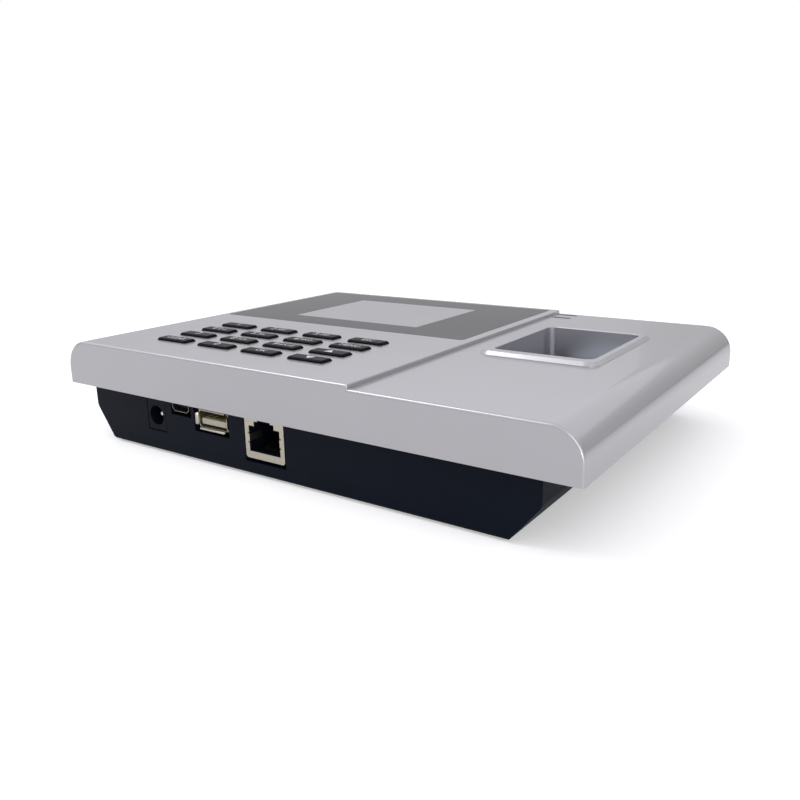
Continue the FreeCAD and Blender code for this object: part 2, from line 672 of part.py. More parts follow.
def housing_tub():
    outline = [("house_left", "rim_top"), ("house_left", "floor_low + left_slope_rise"),
               ("house_left + left_slope_run", "floor_low"),
               ("house_right - right_slope_run", "floor_low"),
               ("house_right", "floor_low + right_slope_rise"), ("house_right", "rim_top")]
    tub = prism("tub", "XZ_Plane", outline, "house_front", "house_back")
    dress(tub, FILLET, "bend_round",
          lambda middle, along: abs(along.y) > 0.9
          and (near(middle.z, "floor_low + left_slope_rise")
               or near(middle.z, "floor_low + right_slope_rise")))
    dress(tub, FILLET, "floor_round",
          lambda middle, along: near(middle.z, "floor_low"))
    return tub


def housing_hollow():
    left_up, left_in = slope_offset("left_slope_run", "left_slope_rise", "housing_wall")
    right_up, right_in = slope_offset("right_slope_run", "right_slope_rise", "housing_wall")
    outline = [("house_left + housing_wall", "rim_top + 1"),
               ("house_left + housing_wall", f"floor_low + left_slope_rise + {left_up}"),
               (f"house_left + left_slope_run + {left_in}", "floor_high"),
               (f"house_right - right_slope_run - {right_in}", "floor_high"),
               ("house_right - housing_wall", f"floor_low + right_slope_rise + {right_up}"),
               ("house_right - housing_wall", "rim_top + 1")]
    return prism("tub_hollow", "XZ_Plane", outline,
                 "house_front + housing_wall", "house_back - housing_wall")


def socket_gaps():
    """Slots in the front wall for the sockets, open towards the cover."""
    gaps = [("jack", ("jack_mid - jack_width / 2 - port_gap", "jack_mid + jack_width / 2 + fit_gap"),
             "seam - jack_drop - port_gap"),
            ("mini", span("mini_mid", "mini_width / 2 + port_gap * 2"),
             "seam - mini_drop - port_under"),
            ("host", span("host_mid", "host_width / 2 + host_flare + port_gap"),
             "host_low - host_flare - port_under / 2"),
            ("net", span("net_mid", "net_width / 2 + port_gap"), "net_bottom - port_under")]
    return [block(f"gap_{name}", x, ("front_side + cover_wall - 1", "house_front + housing_wall + 0.5"),
                  (low, "rim_top + 1"))
            for name, x, low in gaps]


def hanger(index, x):
    """A keyhole through the floor and the closed pocket behind it."""
    slot_y = "hang_y + hang_run"
    through = ("floor_low - 1", "floor_high + 0.2")
    room = "hang_radius + hang_room"
    opening = [
        rod(f"hang_hole_{index}", x, "hang_y", through, "hang_radius"),
        rod(f"hang_end_{index}", x, slot_y, through, "hang_slot"),
        block(f"hang_neck_{index}", span(x, "hang_slot"), ("hang_y", slot_y), through),
        block(f"hang_room_{index}", span(x, room), (f"hang_y - ({room})", f"{slot_y} + {room}"),
              ("floor_high", "floor_high + hang_pocket")),
    ]
    pocket = block(f"hang_pocket_{index}", span(x, "hang_outer"),
                   ("hang_y - hang_outer", f"{slot_y} + hang_outer"),
                   ("floor_high - 0.5", "floor_high + hang_pocket + hang_wall"))
    return pocket, opening


def grille():
    """Sound slots under the loudspeaker, shorter towards the edge."""
    slots = []
    for line in range(-3, 4):
        offset = f"{line} * grille_pitch"
        half = f"sqrt((speaker_radius - 2) ^ 2 - ({offset}) ^ 2) - grille_width / 2"
        slots.append(block(f"sound_slot_{line + 4}", span("speaker_x", half),
                           span(f"speaker_y + {offset}", "grille_width / 2"),
                           ("floor_low - 1", "floor_high + 1")))
    return slots


FEET = corners(("foot_mid_x", "0"), ("foot_spread_x / 2", "foot_spread_y / 2"))


def rear_housing():
    rim = block("rim", ("left_side + cover_wall + lip_gap", "right_side - cover_wall - lip_gap"),
                ("front_side + cover_wall + lip_gap", "back_side - cover_wall - lip_gap"),
                ("rim_low", "rim_top"))
    shell = cut("housing_shell", join("housing_outer", [housing_tub(), rim]), [housing_hollow()])
    pillars = [rod(f"pillar_{index}", x, y, ("floor_low + 0.5", "pillar_high"),
                   "well_hole + pillar_wall")
               for index, (x, y) in enumerate(CASE_SCREWS, 1)]
    wells = [rod(f"screw_well_{index}", x, y, ("floor_low - 1", "head_seat"), "well_hole")
             for index, (x, y) in enumerate(CASE_SCREWS, 1)]
    clear = [rod(f"screw_way_{index}", x, y, ("head_seat - 1", "pillar_high + 1"),
                 "case_shank + screw_clear")
             for index, (x, y) in enumerate(CASE_SCREWS, 1)]
    ring = cut("speaker_ring",
               rod("ring_outer", "speaker_x", "speaker_y", ("floor_high - 0.5", "floor_high + 4"),
                   "speaker_radius + ring_gap + ring_wall"),
               [rod("ring_inner", "speaker_x", "speaker_y", ("floor_high - 1", "floor_high + 5"),
                    "speaker_radius + ring_gap")])
    pads = [rod(f"foot_seat_{index}", x, y, ("floor_low - 1", "floor_low + foot_sink"),
                "foot_radius + fit_gap")
            for index, (x, y) in enumerate(FEET, 1)]
    hangers = [hanger(index, x) for index, x in enumerate(HANGERS, 1)]
    openings = [tool for pocket, tools in hangers for tool in tools]
    solid = join("housing_solid", [shell, ring] + pillars + [pocket for pocket, tools in hangers])
    housing = cut("housing", solid, wells + clear + pads + openings + socket_gaps() + grille())
    node(housing, "rear_housing")
    feet = [rod(f"foot_{index}", x, y, ("0", "floor_low + foot_sink"), "foot_radius")
            for index, (x, y) in enumerate(FEET, 1)]
    node(gather("feet", feet), "rubber_feet")
    solids = [screw(f"case_screw_{index}", x, y, "head_seat", "case_head", "case_head_high",
                    "case_shank", "pillar_roof + case_grip")
              for index, (x, y) in enumerate(CASE_SCREWS, 1)]
    node(gather("case_screw_group", solids), "case_screws")


def loudspeaker():
    """A small round loudspeaker, face down over the sound slots."""
    low = "floor_high"
    basket = rod("speaker_basket_rod", "speaker_x", "speaker_y", (low, f"{low} + 1.6"), "speaker_radius")
    dish = rod("speaker_dish", "speaker_x", "speaker_y", (f"{low} - 1", f"{low} + 0.8"),
               "speaker_radius - 1.5")
    node(cut("speaker_basket_cut", basket, [dish]), "speaker_basket")
    node(rod("speaker_cone_rod", "speaker_x", "speaker_y", (f"{low} + 0.4", f"{low} + 0.8"),
             "speaker_radius - 1.6"), "speaker_cone")
    node(rod("speaker_magnet_rod", "speaker_x", "speaker_y", (f"{low} + 1.6", f"{low} + speaker_high"),
             "speaker_radius * 0.5"), "speaker_magnet")


# ---------------------------------------------------------------------------------------------
# Screen: the black window on top, and the display module under it
# ---------------------------------------------------------------------------------------------
def screen():
    window = rounded("window", span("window_x", "window_length / 2"),
                     span("window_y", "window_depth / 2"), ("recess_floor", "left_top"),
                     "window_corner")
    node(window, "screen_window")
    middle = ("window_x", "window_y")
    outer = slab("frame_outer", middle, ("frame_length / 2", "frame_depth / 2"),
                 ("frame_low", "frame_top"))
    inner = slab("frame_inner", middle,
                 ("frame_length / 2 - frame_wall", "frame_depth / 2 - frame_wall"),
                 ("frame_low - 1", "glass_top"))
    view = slab("frame_view", middle, ("view_length / 2", "view_depth / 2"),
                ("frame_low", "frame_top + 1"))
    node(cut("frame_cut", outer, [inner, view]), "display_frame")
    fill = ("frame_length / 2 - frame_wall - 0.1", "frame_depth / 2 - frame_wall - 0.1")
    node(slab("glass", middle, fill, ("glass_top - glass_thick", "glass_top")), "display_glass")
    node(slab("light", middle, fill, ("frame_low", "glass_top - glass_thick")), "display_backlight")
    board = slab("display_board_plate", middle,
                 ("frame_length / 2 + tab_length", "frame_depth / 2"),
                 ("display_board_top - 1", "display_board_top"))
    holes = clear_holes("display_way", DISPLAY_SCREWS,
                        ("display_board_top - 2", "display_board_top + 1"))
    node(cut("display_board_cut", board, holes), "display_board")
    small_screws("display_screws", DISPLAY_SCREWS, "display_board_top - 1", "display_board_top")


# ---------------------------------------------------------------------------------------------
# Keypad: sixteen capped keys, the rubber sheet round them, and the board with its contacts
# ---------------------------------------------------------------------------------------------
def key(index, x, y):
    cap = rounded(f"cap_{index}", span(x, "key_length / 2"), span(y, "key_depth / 2"),
                  ("key_rim_top", "cap_top"), "key_corner")
    dress(cap, CHAMFER, "key_bevel", lambda middle, along: near(middle.z, "cap_top"))
    flange = slab(f"key_flange_{index}", (x, y),
                  ("key_length / 2 + key_rim", "key_depth / 2 + key_rim"),
                  ("key_rim_low", "key_rim_top"))
    foot = slab(f"key_foot_{index}", (x, y), ("key_foot_length / 2", "key_foot_depth / 2"),
                ("key_foot_low", "key_rim_low"))
    node(join(f"key_solid_{index}", [cap, flange, foot]), f"key_{index}")


def keypad():
    for index, (x, y) in enumerate(KEYS, 1):
        key(index, x, y)
    sheet_body = slab("mat_sheet", ("key_x", "key_y"), ("mat_half_x", "mat_half_y"),
                      ("key_board_top + contact_thick", "key_board_top + contact_thick + mat_thick"))
    openings = [slab(f"mat_opening_{index}", (x, y),
                     ("key_length / 2 + key_rim + mat_gap", "key_depth / 2 + key_rim + mat_gap"),
                     ("key_board_top - 1", "left_under"))
                for index, (x, y) in enumerate(KEYS, 1)]
    relief = [rod(f"mat_relief_{index}", x, y, ("key_board_top - 1", "left_under"),
                  "small_boss + boss_clear")
              for index, (x, y) in enumerate(KEY_SCREWS, 1)]
    node(cut("mat_cut", sheet_body, openings + relief), "key_mat")
    plate = slab("key_board_plate", ("key_x", "key_y"), ("key_board_half_x", "key_board_half_y"),
                 ("key_board_top - board_thick", "key_board_top"))
    holes = clear_holes("key_way", KEY_SCREWS, ("key_board_top - 3", "key_board_top + 1"))
    notches = [rod(f"key_notch_{index}", x, y, ("key_board_top - 3", "key_board_top + 1"),
                   "small_boss + boss_clear")
               for index, (x, y) in enumerate(BOARD_SCREWS, 1)]
    node(cut("key_board_cut", plate, holes + notches), "key_board")
    pads = [slab(f"contact_{index}_{side}", (f"{x} + {offset}", y), ("1.8", "1.4"),
                 ("key_board_top", "contact_top"))
            for index, (x, y) in enumerate(KEYS, 1)
            for side, offset in ((1, -2), (2, 2))]
    node(gather("contact_group", pads), "key_contacts")
    small_screws("key_board_screws", KEY_SCREWS, "key_board_top - board_thick", "key_board_top")


# ---------------------------------------------------------------------------------------------
# Fingerprint reader under the well, and the indicator beside the step
# ---------------------------------------------------------------------------------------------
def fingerprint_reader():
    middle = ("well_x", "well_y")
    platform = rounded("sensor_platform", span("well_x", "well_length / 2 - fit_gap"),
                       span("well_y", "well_depth / 2 - fit_gap"),
                       ("well_low - 0.5", "platform_top"), "well_corner")
    case = slab("sensor_case", middle, ("sensor_half_x", "sensor_half_y"), ("sensor_low", "well_low"))
    ears = [slab(f"sensor_ear_{index}", (x, y), ("ear_length / 2", "ear_depth / 2"),
                 ("well_low - 1.6", "well_low"))
            for index, (x, y) in enumerate(SENSOR_SCREWS, 1)]
    inside = slab("sensor_inside", middle,
                  ("sensor_half_x - sensor_wall", "sensor_half_y - sensor_wall"),
                  ("sensor_low - 1", "well_low - 2"))
    window = slab("sensor_window", middle,
                  ("prism_length / 2 + fit_gap / 3", "prism_depth / 2 + fit_gap / 3"),
                  ("well_low - 3", "platform_top + 1"))
    holes = clear_holes("ear_way", SENSOR_SCREWS, ("well_low - 3", "well_low + 1"))
    shell = cut("sensor_shell", join("sensor_solid", [platform, case] + ears),
                [inside, window] + holes)
    node(shell, "sensor_housing")
    glass = prism("sensor_prism", "XY_Plane",
                  rectangle(span("well_x", "prism_length / 2"), span("well_y", "prism_depth / 2")),
                  "platform_top - prism_sink - prism_high", "platform_top - prism_sink")
    dress(glass, CHAMFER, "0.4",
          lambda point, along: near(point.z, "platform_top - prism_sink"))
    node(glass, "sensor_glass")
    node(slab("sensor_board_plate", middle, ("sensor_half_x", "sensor_half_y"),
              ("sensor_low - board_thick", "sensor_low")), "sensor_board")
    camera = join("camera_solid", [
        slab("camera_base", middle, ("5", "5"), ("sensor_low", "sensor_low + 2")),
        rod("camera_barrel", "well_x", "well_y", ("sensor_low + 1", "sensor_low + 5"), "3.2"),
    ])
    node(camera, "sensor_camera")
    lamps = [slab(f"sensor_lamp_{index}", (x, y), ("1.6", "0.8"), ("sensor_low", "sensor_low + 1"))
             for index, (x, y) in enumerate(corners(middle, ("12", "16")), 1)]
    node(gather("sensor_lamp_group", lamps), "sensor_lamps")
    small_screws("sensor_screws", SENSOR_SCREWS, "well_low - 1.6", "well_low")


def indicator():
    ribs = [rounded(f"guide_rib_{index}",
                    ("slot_left + fit_gap / 2", "slot_left + slot_length - fit_gap / 2"),
                    span(y, "slot_width / 2 - fit_gap / 2"),
                    ("right_under - 0.2", "right_top - guide_sink"), "slot_width / 2 - fit_gap / 2 - 0.02")
            for index, y in enumerate(SLOTS, 1)]
    base = block("guide_base", ("slot_left - guide_margin", "slot_left + slot_length + guide_margin"),
                 ("slot_rear - slot_pitch - guide_margin", "slot_rear + slot_width / 2"),
                 ("guide_low", "right_under"))
    node(join("guide_solid", [base] + ribs), "indicator_window")
    plate = block("lamp_plate", ("slot_left - guide_margin", "slot_left + slot_length + guide_margin"),
                  ("slot_rear - slot_pitch - 13", "slot_rear + slot_width / 2"),
                  ("lamp_board_top - 1", "lamp_board_top"))
    holes = clear_holes("lamp_way", LAMP_SCREW, ("lamp_board_top - 2", "lamp_board_top + 1"))
    node(cut("lamp_board_cut", plate, holes), "indicator_board")
    lamps = [slab(f"lamp_{index}", ("slot_left + slot_length / 2", y), ("1.6", "0.8"),
                  ("lamp_board_top", "lamp_board_top + 1.2"))
             for index, y in enumerate(["slot_rear - 1", "slot_rear - slot_pitch"], 1)]
    node(gather("lamp_group", lamps), "indicator_lamps")
    small_screws("indicator_screw", LAMP_SCREW, "lamp_board_top - 1", "lamp_board_top")


# ---------------------------------------------------------------------------------------------
# Main board: it hangs from the cover with its sockets downwards, so their latches face the board
# ---------------------------------------------------------------------------------------------
def main_board():
    plate = block("main_plate", ("main_left", "main_right"), ("main_front", "main_back"),
                  ("seam", "main_top"))
    holes = clear_holes("board_way", BOARD_SCREWS, ("seam - 1", "main_top + 1"))
    node(cut("main_board_cut", plate, holes), "main_board")
    small_screws("main_board_screws", BOARD_SCREWS, "seam", "main_top")
    chips = [("processor", 34, 44, 14, 14, 1.4), ("memory", 52, 46, 11, 8, 1.2),
             ("storage", 16, 44, 10, 12, 1.2), ("network_chip", 56, 32, 9, 9, 1.2),
             ("regulator", 12, 27, 7, 6, 2.4), ("coil", 22, 28, 8, 8, 4.0)]
    bodies = [slab(name, (f"main_left + {x}", f"main_front + {y}"), (length / 2, depth / 2),
                   (f"seam - {high}", "seam"))
              for name, x, y, length, depth, high in chips]
    node(gather("chip_group", bodies), "board_chips")
    cans = [rod(f"can_{index}", f"main_left + {x}", f"main_front + {y}",
                (f"seam - {high}", "seam"), radius)
            for index, (x, y, radius, high) in enumerate(
                [(6, 38, 3.15, 7.5), (6, 48, 3.15, 7.5), (70, 30, 2.5, 5.5)], 1)]
    node(gather("can_group", cans), "board_capacitors")
    holder = rod("holder_outer", "cell_mid_x", "cell_mid_y", ("seam - cell_thick - 1", "seam"),
                 "cell_radius + 1.4")
    hollow = rod("holder_hollow", "cell_mid_x", "cell_mid_y",
                 ("seam - cell_thick - 2", "seam - 0.8"), "cell_radius + 0.1")
    node(cut("holder_cut", holder, [hollow]), "battery_holder")
    node(rod("cell_rod", "cell_mid_x", "cell_mid_y", ("seam - cell_thick - 0.8", "seam - 0.8"),
             "cell_radius"), "clock_battery")


def power_jack():
    back = "house_front + jack_deep"
    bore_z = "seam - jack_bore_drop"
    body = block("jack_block", span("jack_mid", "jack_width / 2"), ("house_front", back),
                 ("seam - jack_drop", "seam"))
    bore = rod_back("jack_bore_rod", "jack_mid", bore_z,
                    ("house_front - 1", "house_front + jack_bore_deep"), "jack_bore")
    seat = rod_back("jack_seat", "jack_mid", bore_z,
                    ("house_front + jack_bore_deep - 1", "house_front + jack_bore_deep + 2"),
                    "jack_pin")
    node(cut("jack_cut", body, [bore, seat]), "power_jack_body")
    pin = rod_back("jack_pin_rod", "jack_mid", bore_z,
                   ("house_front + jack_pin_inset", "house_front + jack_bore_deep + 2"), "jack_pin")
    node(pin, "power_jack_pin")


def socket_shell(name, middle, half, z, front, back):
    """A folded sheet-metal tube, open at the front and closed at the back."""
    outer = block(name + "_outer", span(middle, half), (front, back), z)
    inner = block(name + "_inner", span(middle, f"{half} - shell_wall"),
                  (f"{front} - 1", f"{back} - shell_wall"),
                  (f"{z[0]} + shell_wall", f"{z[1]} - shell_wall"))
    return outer, inner


def mini_outline(inset):
    """The service socket's section, with both lower corners bevelled, set in by the same all round."""
    half = f"(mini_width / 2 - ({inset}))"
    low = f"seam - mini_drop + {inset}"
    high = f"seam - ({inset})"
    bevel = f"(mini_corner - (2 - sqrt(2)) * ({inset}))"
    return [(f"mini_mid - {half}", high), (f"mini_mid - {half}", f"{low} + {bevel}"),
            (f"mini_mid - {half} + {bevel}", low), (f"mini_mid + {half} - {bevel}", low),
            (f"mini_mid + {half}", f"{low} + {bevel}"), (f"mini_mid + {half}", high)]


def mini_socket():
    back = "house_front + mini_deep"
    low = "seam - mini_drop"
    outer = prism("mini_outer", "XZ_Plane", mini_outline("0"), "house_front", back)
    inner = prism("mini_inner", "XZ_Plane", mini_outline("mini_wall"),
                  "house_front - 1", f"{back} - mini_wall")
    node(cut("mini_cut", outer, [inner]), "service_socket_shell")
    tongue = join("mini_tongue_solid", [
        prism("mini_root", "XZ_Plane", mini_outline("mini_wall + 0.05"),
              f"{back} - mini_wall - 2.5", f"{back} - mini_wall"),
        block("mini_blade", span("mini_mid", "mini_width / 2 - 1.6"),
              ("house_front + 1.2", f"{back} - mini_wall - 2"),
              (f"{low} + mini_wall + 1.1", f"{low} + mini_wall + 2.1")),
    ])
    node(tongue, "service_socket_tongue")


def host_socket():
    back = "house_front + host_deep"
    z = ("host_low", "host_high_z")
    outer, inner = socket_shell("host", "host_mid", "host_width / 2", z,
                                "house_front + host_flare_deep", back)
    node(join("host_solid", [cut("host_tube", outer, [inner])] + host_flares(z)),
         "stick_socket_shell")
    tongue = join("host_tongue_solid", [
        block("host_root", span("host_mid", "host_width / 2 - shell_wall - 0.05"),
              (f"{back} - shell_wall - 2.5", f"{back} - shell_wall"),
              ("host_low + shell_wall", "host_high_z - shell_wall")),
        block("host_blade", span("host_mid", "host_width / 2 - 0.95"),
              ("house_front + 1.5", f"{back} - shell_wall - 2"), ("tongue_low", "tongue_high")),
    ])
    node(tongue, "stick_socket_tongue")
    strips = [block(f"host_contact_{index}", span(f"host_mid + {offset}", "0.5"),
                    ("house_front + 2.5", f"{back} - shell_wall - 2.6"),
                    ("tongue_high", "tongue_high + 0.2"))
              for index, offset in enumerate((-3.5, -1, 1, 3.5), 1)]
    node(gather("host_contact_group", strips), "stick_socket_contacts")
    node(block("host_stand_block", span("host_mid", "host_width / 2"),
               (f"{back} - 8", back), ("host_high_z", "seam")), "stick_socket_stand")


def host_flares(z):
    """Four lips that spread out from the shell's mouth."""
    low, high = z
    wall = "shell_wall"
    half = "host_width / 2"
    front = "house_front"
    deep = "house_front + host_flare_deep"
    lips = []
    for index, (height, sign) in enumerate([(f"{high} - {wall}", 1), (f"{low} + {wall}", -1)], 1):
        outline = [(deep, height), (front, f"{height} + {sign} * host_flare"),
                   (front, f"{height} + {sign} * (host_flare + {wall})"),
                   (deep, f"{height} + {sign} * {wall}")]
        lips.append(prism(f"host_lip_{index}", "YZ_Plane", outline,
                          f"host_mid - {half} + 0.9", f"host_mid + {half} - 0.9"))
    for index, sign in enumerate((-1, 1), 3):
        edge = f"host_mid + {sign} * ({half} - {wall})"
        outline = [(edge, deep), (f"{edge} + {sign} * host_flare", front),
                   (f"{edge} + {sign} * (host_flare + {wall})", front),
                   (f"{edge} + {sign} * {wall}", deep)]
        lips.append(prism(f"host_lip_{index}", "XY_Plane", outline,
                          f"{low} + 0.8", f"{high} - 0.8"))
    return lips


def stepped_outline(grow):
    """The network socket's mouth: a wide plug opening with a two-step latch notch above."""
    wide = f"net_cavity / 2 + {grow}"
    notch = f"net_latch_wide / 2 + {grow}"
    slim = f"net_latch_slim / 2 + {grow}"
    right = [(wide, f"cavity_low - {grow}"), (wide, f"cavity_high + {grow}"),
             (notch, f"cavity_high + {grow}"), (notch, f"notch_high + {grow}"),
             (slim, f"notch_high + {grow}"), (slim, f"notch_top + {grow}")]
    left = [(f"net_mid - ({x})", z) for x, z in reversed(right)]
    return [(f"net_mid + {x}", z) for x, z in right] + left


def net_block(name, inset, front, back):
    """The network socket's block with rounded lower corners, set in by the same all round."""
    body = prism(name, "XZ_Plane",
                 rectangle(span("net_mid", f"net_width / 2 - ({inset})"),
                           (f"net_bottom + {inset}", f"seam - ({inset})")), front, back)
    return dress(body, FILLET, f"net_corner - ({inset})",
                 lambda middle, along: abs(along.y) > 0.9 and near(middle.z, f"net_bottom + {inset}"))


def net_springs():
    """A spring on each side of the plug opening, folded back from the face, and its room."""
    springs, nicks, rooms = [], [], []
    high = ("spring_bottom", "spring_top")
    for index, sign in enumerate((-1, 1), 1):
        middle = f"net_mid + {sign} * (net_cavity / 2 + spring_set)"
        springs.append(block(f"net_spring_{index}", span(middle, "spring_thick / 2"),
                             ("house_front", "house_front + spring_deep"), high))
        rooms.append(block(f"net_spring_room_{index}", span(middle, "spring_thick"),
                           ("house_front", "house_front + spring_deep + spring_thick"),
                           ("spring_bottom - spring_thick / 2", "spring_top + spring_thick / 2")))
        for end, (low, top) in enumerate([("spring_bottom - spring_nick", "spring_bottom"),
                                          ("spring_top", "spring_top + spring_nick")]):
            nicks.append(block(f"net_nick_{index}_{end}", span(middle, "spring_thick * 2"),
                               ("house_front - 1", "house_front + 1"), (low, top)))
    return springs, nicks, rooms


def network_socket():
    back = "house_front + net_deep"
    outer = net_block("net_outer", "0", "house_front", back)
    inner = net_block("net_inside", "shell_wall", "house_front + shell_wall", f"{back} - shell_wall")
    mouth = prism("net_mouth", "XZ_Plane", stepped_outline("0.2"),
                  "house_front - 1", "house_front + 1")
    springs, nicks, rooms = net_springs()
    box = cut("net_cut", outer, [inner, mouth] + nicks)
    node(join("net_shell", [box] + springs), "network_socket_shell")
    inset = "shell_wall + 0.05"
    core = net_block("net_core", inset, f"house_front + {inset}", f"{back} - ({inset})")
    cavity = prism("net_cavity_room", "XZ_Plane", stepped_outline("0"),
                   "house_front - 1", "house_front + net_plug_deep")
    node(cut("net_core_cut", core, [cavity] + rooms), "network_socket_core")
    wires = []
    for index in range(8):
        x = f"net_mid + {(index - 3.5) * 1.02:.2f}"
        start = ("house_front + 3", "cavity_low")
        crest = ("house_front + net_plug_deep", "cavity_low + 2.6")
        outline = [start, (f"{start[0]} + 0.6", start[1]), (crest[0], f"{crest[1]} - 0.3"), crest]
        wires.append(prism(f"net_wire_{index + 1}", "YZ_Plane", outline, f"{x} - 0.18", f"{x} + 0.18"))
    node(gather("net_wire_group", wires), "network_socket_wires")


# ---------------------------------------------------------------------------------------------
# Flat cables between the boards, each along straight runs joined by tangent arcs
# ---------------------------------------------------------------------------------------------
def ribbon(label, points, middle, width, across):
    """A flat strip along points in one upright plane, rounded at each turn; across is X or Y."""
    bend = number("ribbon_bend")
    if across == "X":
        path = [Vector(number(middle), number(a), number(b)) for a, b in points]
    else:
        path = [Vector(number(a), number(middle), number(b)) for a, b in points]
    edges = []
    start = path[0]
    for before, corner, after in zip(path, path[1:], path[2:]):
        back = (before - corner).normalize()
        ahead = (after - corner).normalize()
        half = back.getAngle(ahead) / 2
        reach = bend / math.tan(half)
        first = corner + back * reach
        last = corner + ahead * reach
        centre = corner + (back + ahead).normalize() * (bend / math.sin(half))
        crown = centre + (corner - centre).normalize() * bend
        edges.append(Part.LineSegment(start, first).toShape())
        edges.append(Part.Arc(first, crown, last).toShape())
        start = last
    edges.append(Part.LineSegment(start, path[-1]).toShape())
    side = Vector(1, 0, 0) if across == "X" else Vector(0, 1, 0)
    along = (path[1] - path[0]).normalize()
    flat = along.cross(side) * (number("ribbon_thick") / 2)
    wide = side * (width / 2)
    ring = [path[0] + wide + flat, path[0] + wide - flat, path[0] - wide - flat, path[0] - wide + flat]
    section = Part.makePolygon(ring + ring[:1])
    strip = doc.addObject("Part::Feature", label + "_strip")
    strip.Shape = Part.Wire(edges).makePipeShell([section], True, False)
    strip.Placement = FreeCAD.Placement()
    node(strip, label)


def cables():
    low_z = ("main_top", "main_top + plug_high")
    display_x = "window_x + 4"
    display_low = "display_board_top - 1"
    key_low = "key_board_top - board_thick"
    key_x = "key_x + 30"
    key_end = "key_y + key_board_half_y - plug_deep / 2 - 1"
    sensor_x = "main_right - 8"
    sensor_y = "well_y - sensor_half_y + 3.5"
    half_deep = "plug_deep / 2"
    plugs = [
        slab("display_plug", (display_x, "window_y - frame_depth / 2 + 6"), ("9", half_deep),
             (f"{display_low} - plug_high", display_low)),
        slab("display_seat", (display_x, "main_back - 5"), ("9", half_deep), low_z),
        slab("key_plug", (key_x, key_end), ("7", half_deep), (f"{key_low} - plug_high", key_low)),
        slab("key_seat", (key_x, f"{key_end} - 16"), ("7", half_deep), low_z),
        slab("sensor_seat", (sensor_x, sensor_y), ("2", "3"), low_z),
        slab("sensor_plug", ("well_x - sensor_half_x + 5", sensor_y), ("2", "3"),
             ("sensor_low - board_thick - plug_high", "sensor_low - board_thick")),
    ]
    node(gather("plug_group", plugs), "cable_plugs")
    middle_z = "main_top + plug_high / 2"
    ribbon("display_ribbon", [
        ("main_back - 5 + plug_deep / 2", middle_z),
        ("main_back + 3", middle_z),
        ("main_back + 3", f"{display_low} - plug_high / 2"),
        ("window_y - frame_depth / 2 + 6 - plug_deep / 2", f"{display_low} - plug_high / 2"),
    ], display_x, 16.0, "X")
    ribbon("key_ribbon", [
        (f"{key_end} - 16 + plug_deep / 2", middle_z),
        (f"{key_end} - 8", middle_z),
        (f"{key_end} - 8", f"{key_low} - plug_high / 2"),
        (f"{key_end} - plug_deep / 2", f"{key_low} - plug_high / 2"),
    ], key_x, 12.0, "X")
    sensor_z = "sensor_low - board_thick - plug_high / 2"
    ribbon("sensor_ribbon", [
        (f"{sensor_x} + 2", middle_z),
        ("main_right + 4", middle_z),
        ("main_right + 4", sensor_z),
        ("well_x - sensor_half_x + 3", sensor_z),
    ], sensor_y, 6.0, "Y")


front_cover()
rear_housing()
screen()
keypad()
fingerprint_reader()
indicator()
main_board()
power_jack()
mini_socket()
host_socket()
network_socket()
loudspeaker()
cables()
node(gather("small_screw_group", SMALL_SCREWS), "board_screws")

doc.recompute()

for thing in doc.Objects:
    if "Invalid" in thing.State or "Error" in thing.State:
        raise RuntimeError(f"{thing.Name}: {thing.State}")
for thing in NODES:
    if thing.Shape.isNull() or not thing.Shape.isValid():
        raise RuntimeError(f"{thing.Label}: shape is null or not valid")

os.makedirs("parts", exist_ok=True)
for thing in NODES:
    thing.Shape.exportStep(os.path.join("parts", thing.Label + ".step"))
    print(f"{thing.Label}: {len(thing.Shape.Solids)} solids, {thing.Shape.Volume:.1f} mm3")
print(len(NODES), "nodes")
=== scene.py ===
# %% [markdown]
# # A fingerprint and keypad attendance clock
# The clock is a flat silver cover on a black tub with sloping sides. Its sockets stand in the front
# wall of the tub, under the cover's edge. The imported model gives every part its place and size, and
# this file gives the parts their finish: soft edges, paint, rubber, plated metal and printed marks.

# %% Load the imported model
import math
import bmesh
import bpy
import numpy as np
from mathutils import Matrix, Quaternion, Vector


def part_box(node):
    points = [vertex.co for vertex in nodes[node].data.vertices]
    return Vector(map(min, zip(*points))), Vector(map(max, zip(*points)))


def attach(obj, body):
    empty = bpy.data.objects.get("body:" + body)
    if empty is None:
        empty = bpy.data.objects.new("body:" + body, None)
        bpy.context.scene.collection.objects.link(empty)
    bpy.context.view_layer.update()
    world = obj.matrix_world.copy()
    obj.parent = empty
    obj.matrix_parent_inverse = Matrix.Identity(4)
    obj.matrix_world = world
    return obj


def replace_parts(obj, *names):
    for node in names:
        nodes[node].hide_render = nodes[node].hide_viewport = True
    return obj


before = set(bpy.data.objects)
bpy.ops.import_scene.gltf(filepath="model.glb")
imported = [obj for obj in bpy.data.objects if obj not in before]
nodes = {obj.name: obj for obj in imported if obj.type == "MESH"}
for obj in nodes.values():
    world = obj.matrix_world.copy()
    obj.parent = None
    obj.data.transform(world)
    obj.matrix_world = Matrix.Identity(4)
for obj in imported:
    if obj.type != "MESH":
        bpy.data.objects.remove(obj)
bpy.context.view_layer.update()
scene = bpy.context.scene
MM = 0.001

# %% [markdown]
# ## Camera
# The clock is seen from the front right and a little above, close enough for the near corner to
# look large. A short lens at that distance gives the same strong perspective.

# %% Camera
LENS = 35.52
CAMERA_PLACE = Vector((0.15418, -0.22775, 0.08681))
CAMERA_AIM = Vector((-0.54544, 0.79369, -0.26936))
CAMERA_ROLL = math.radians(-0.94)

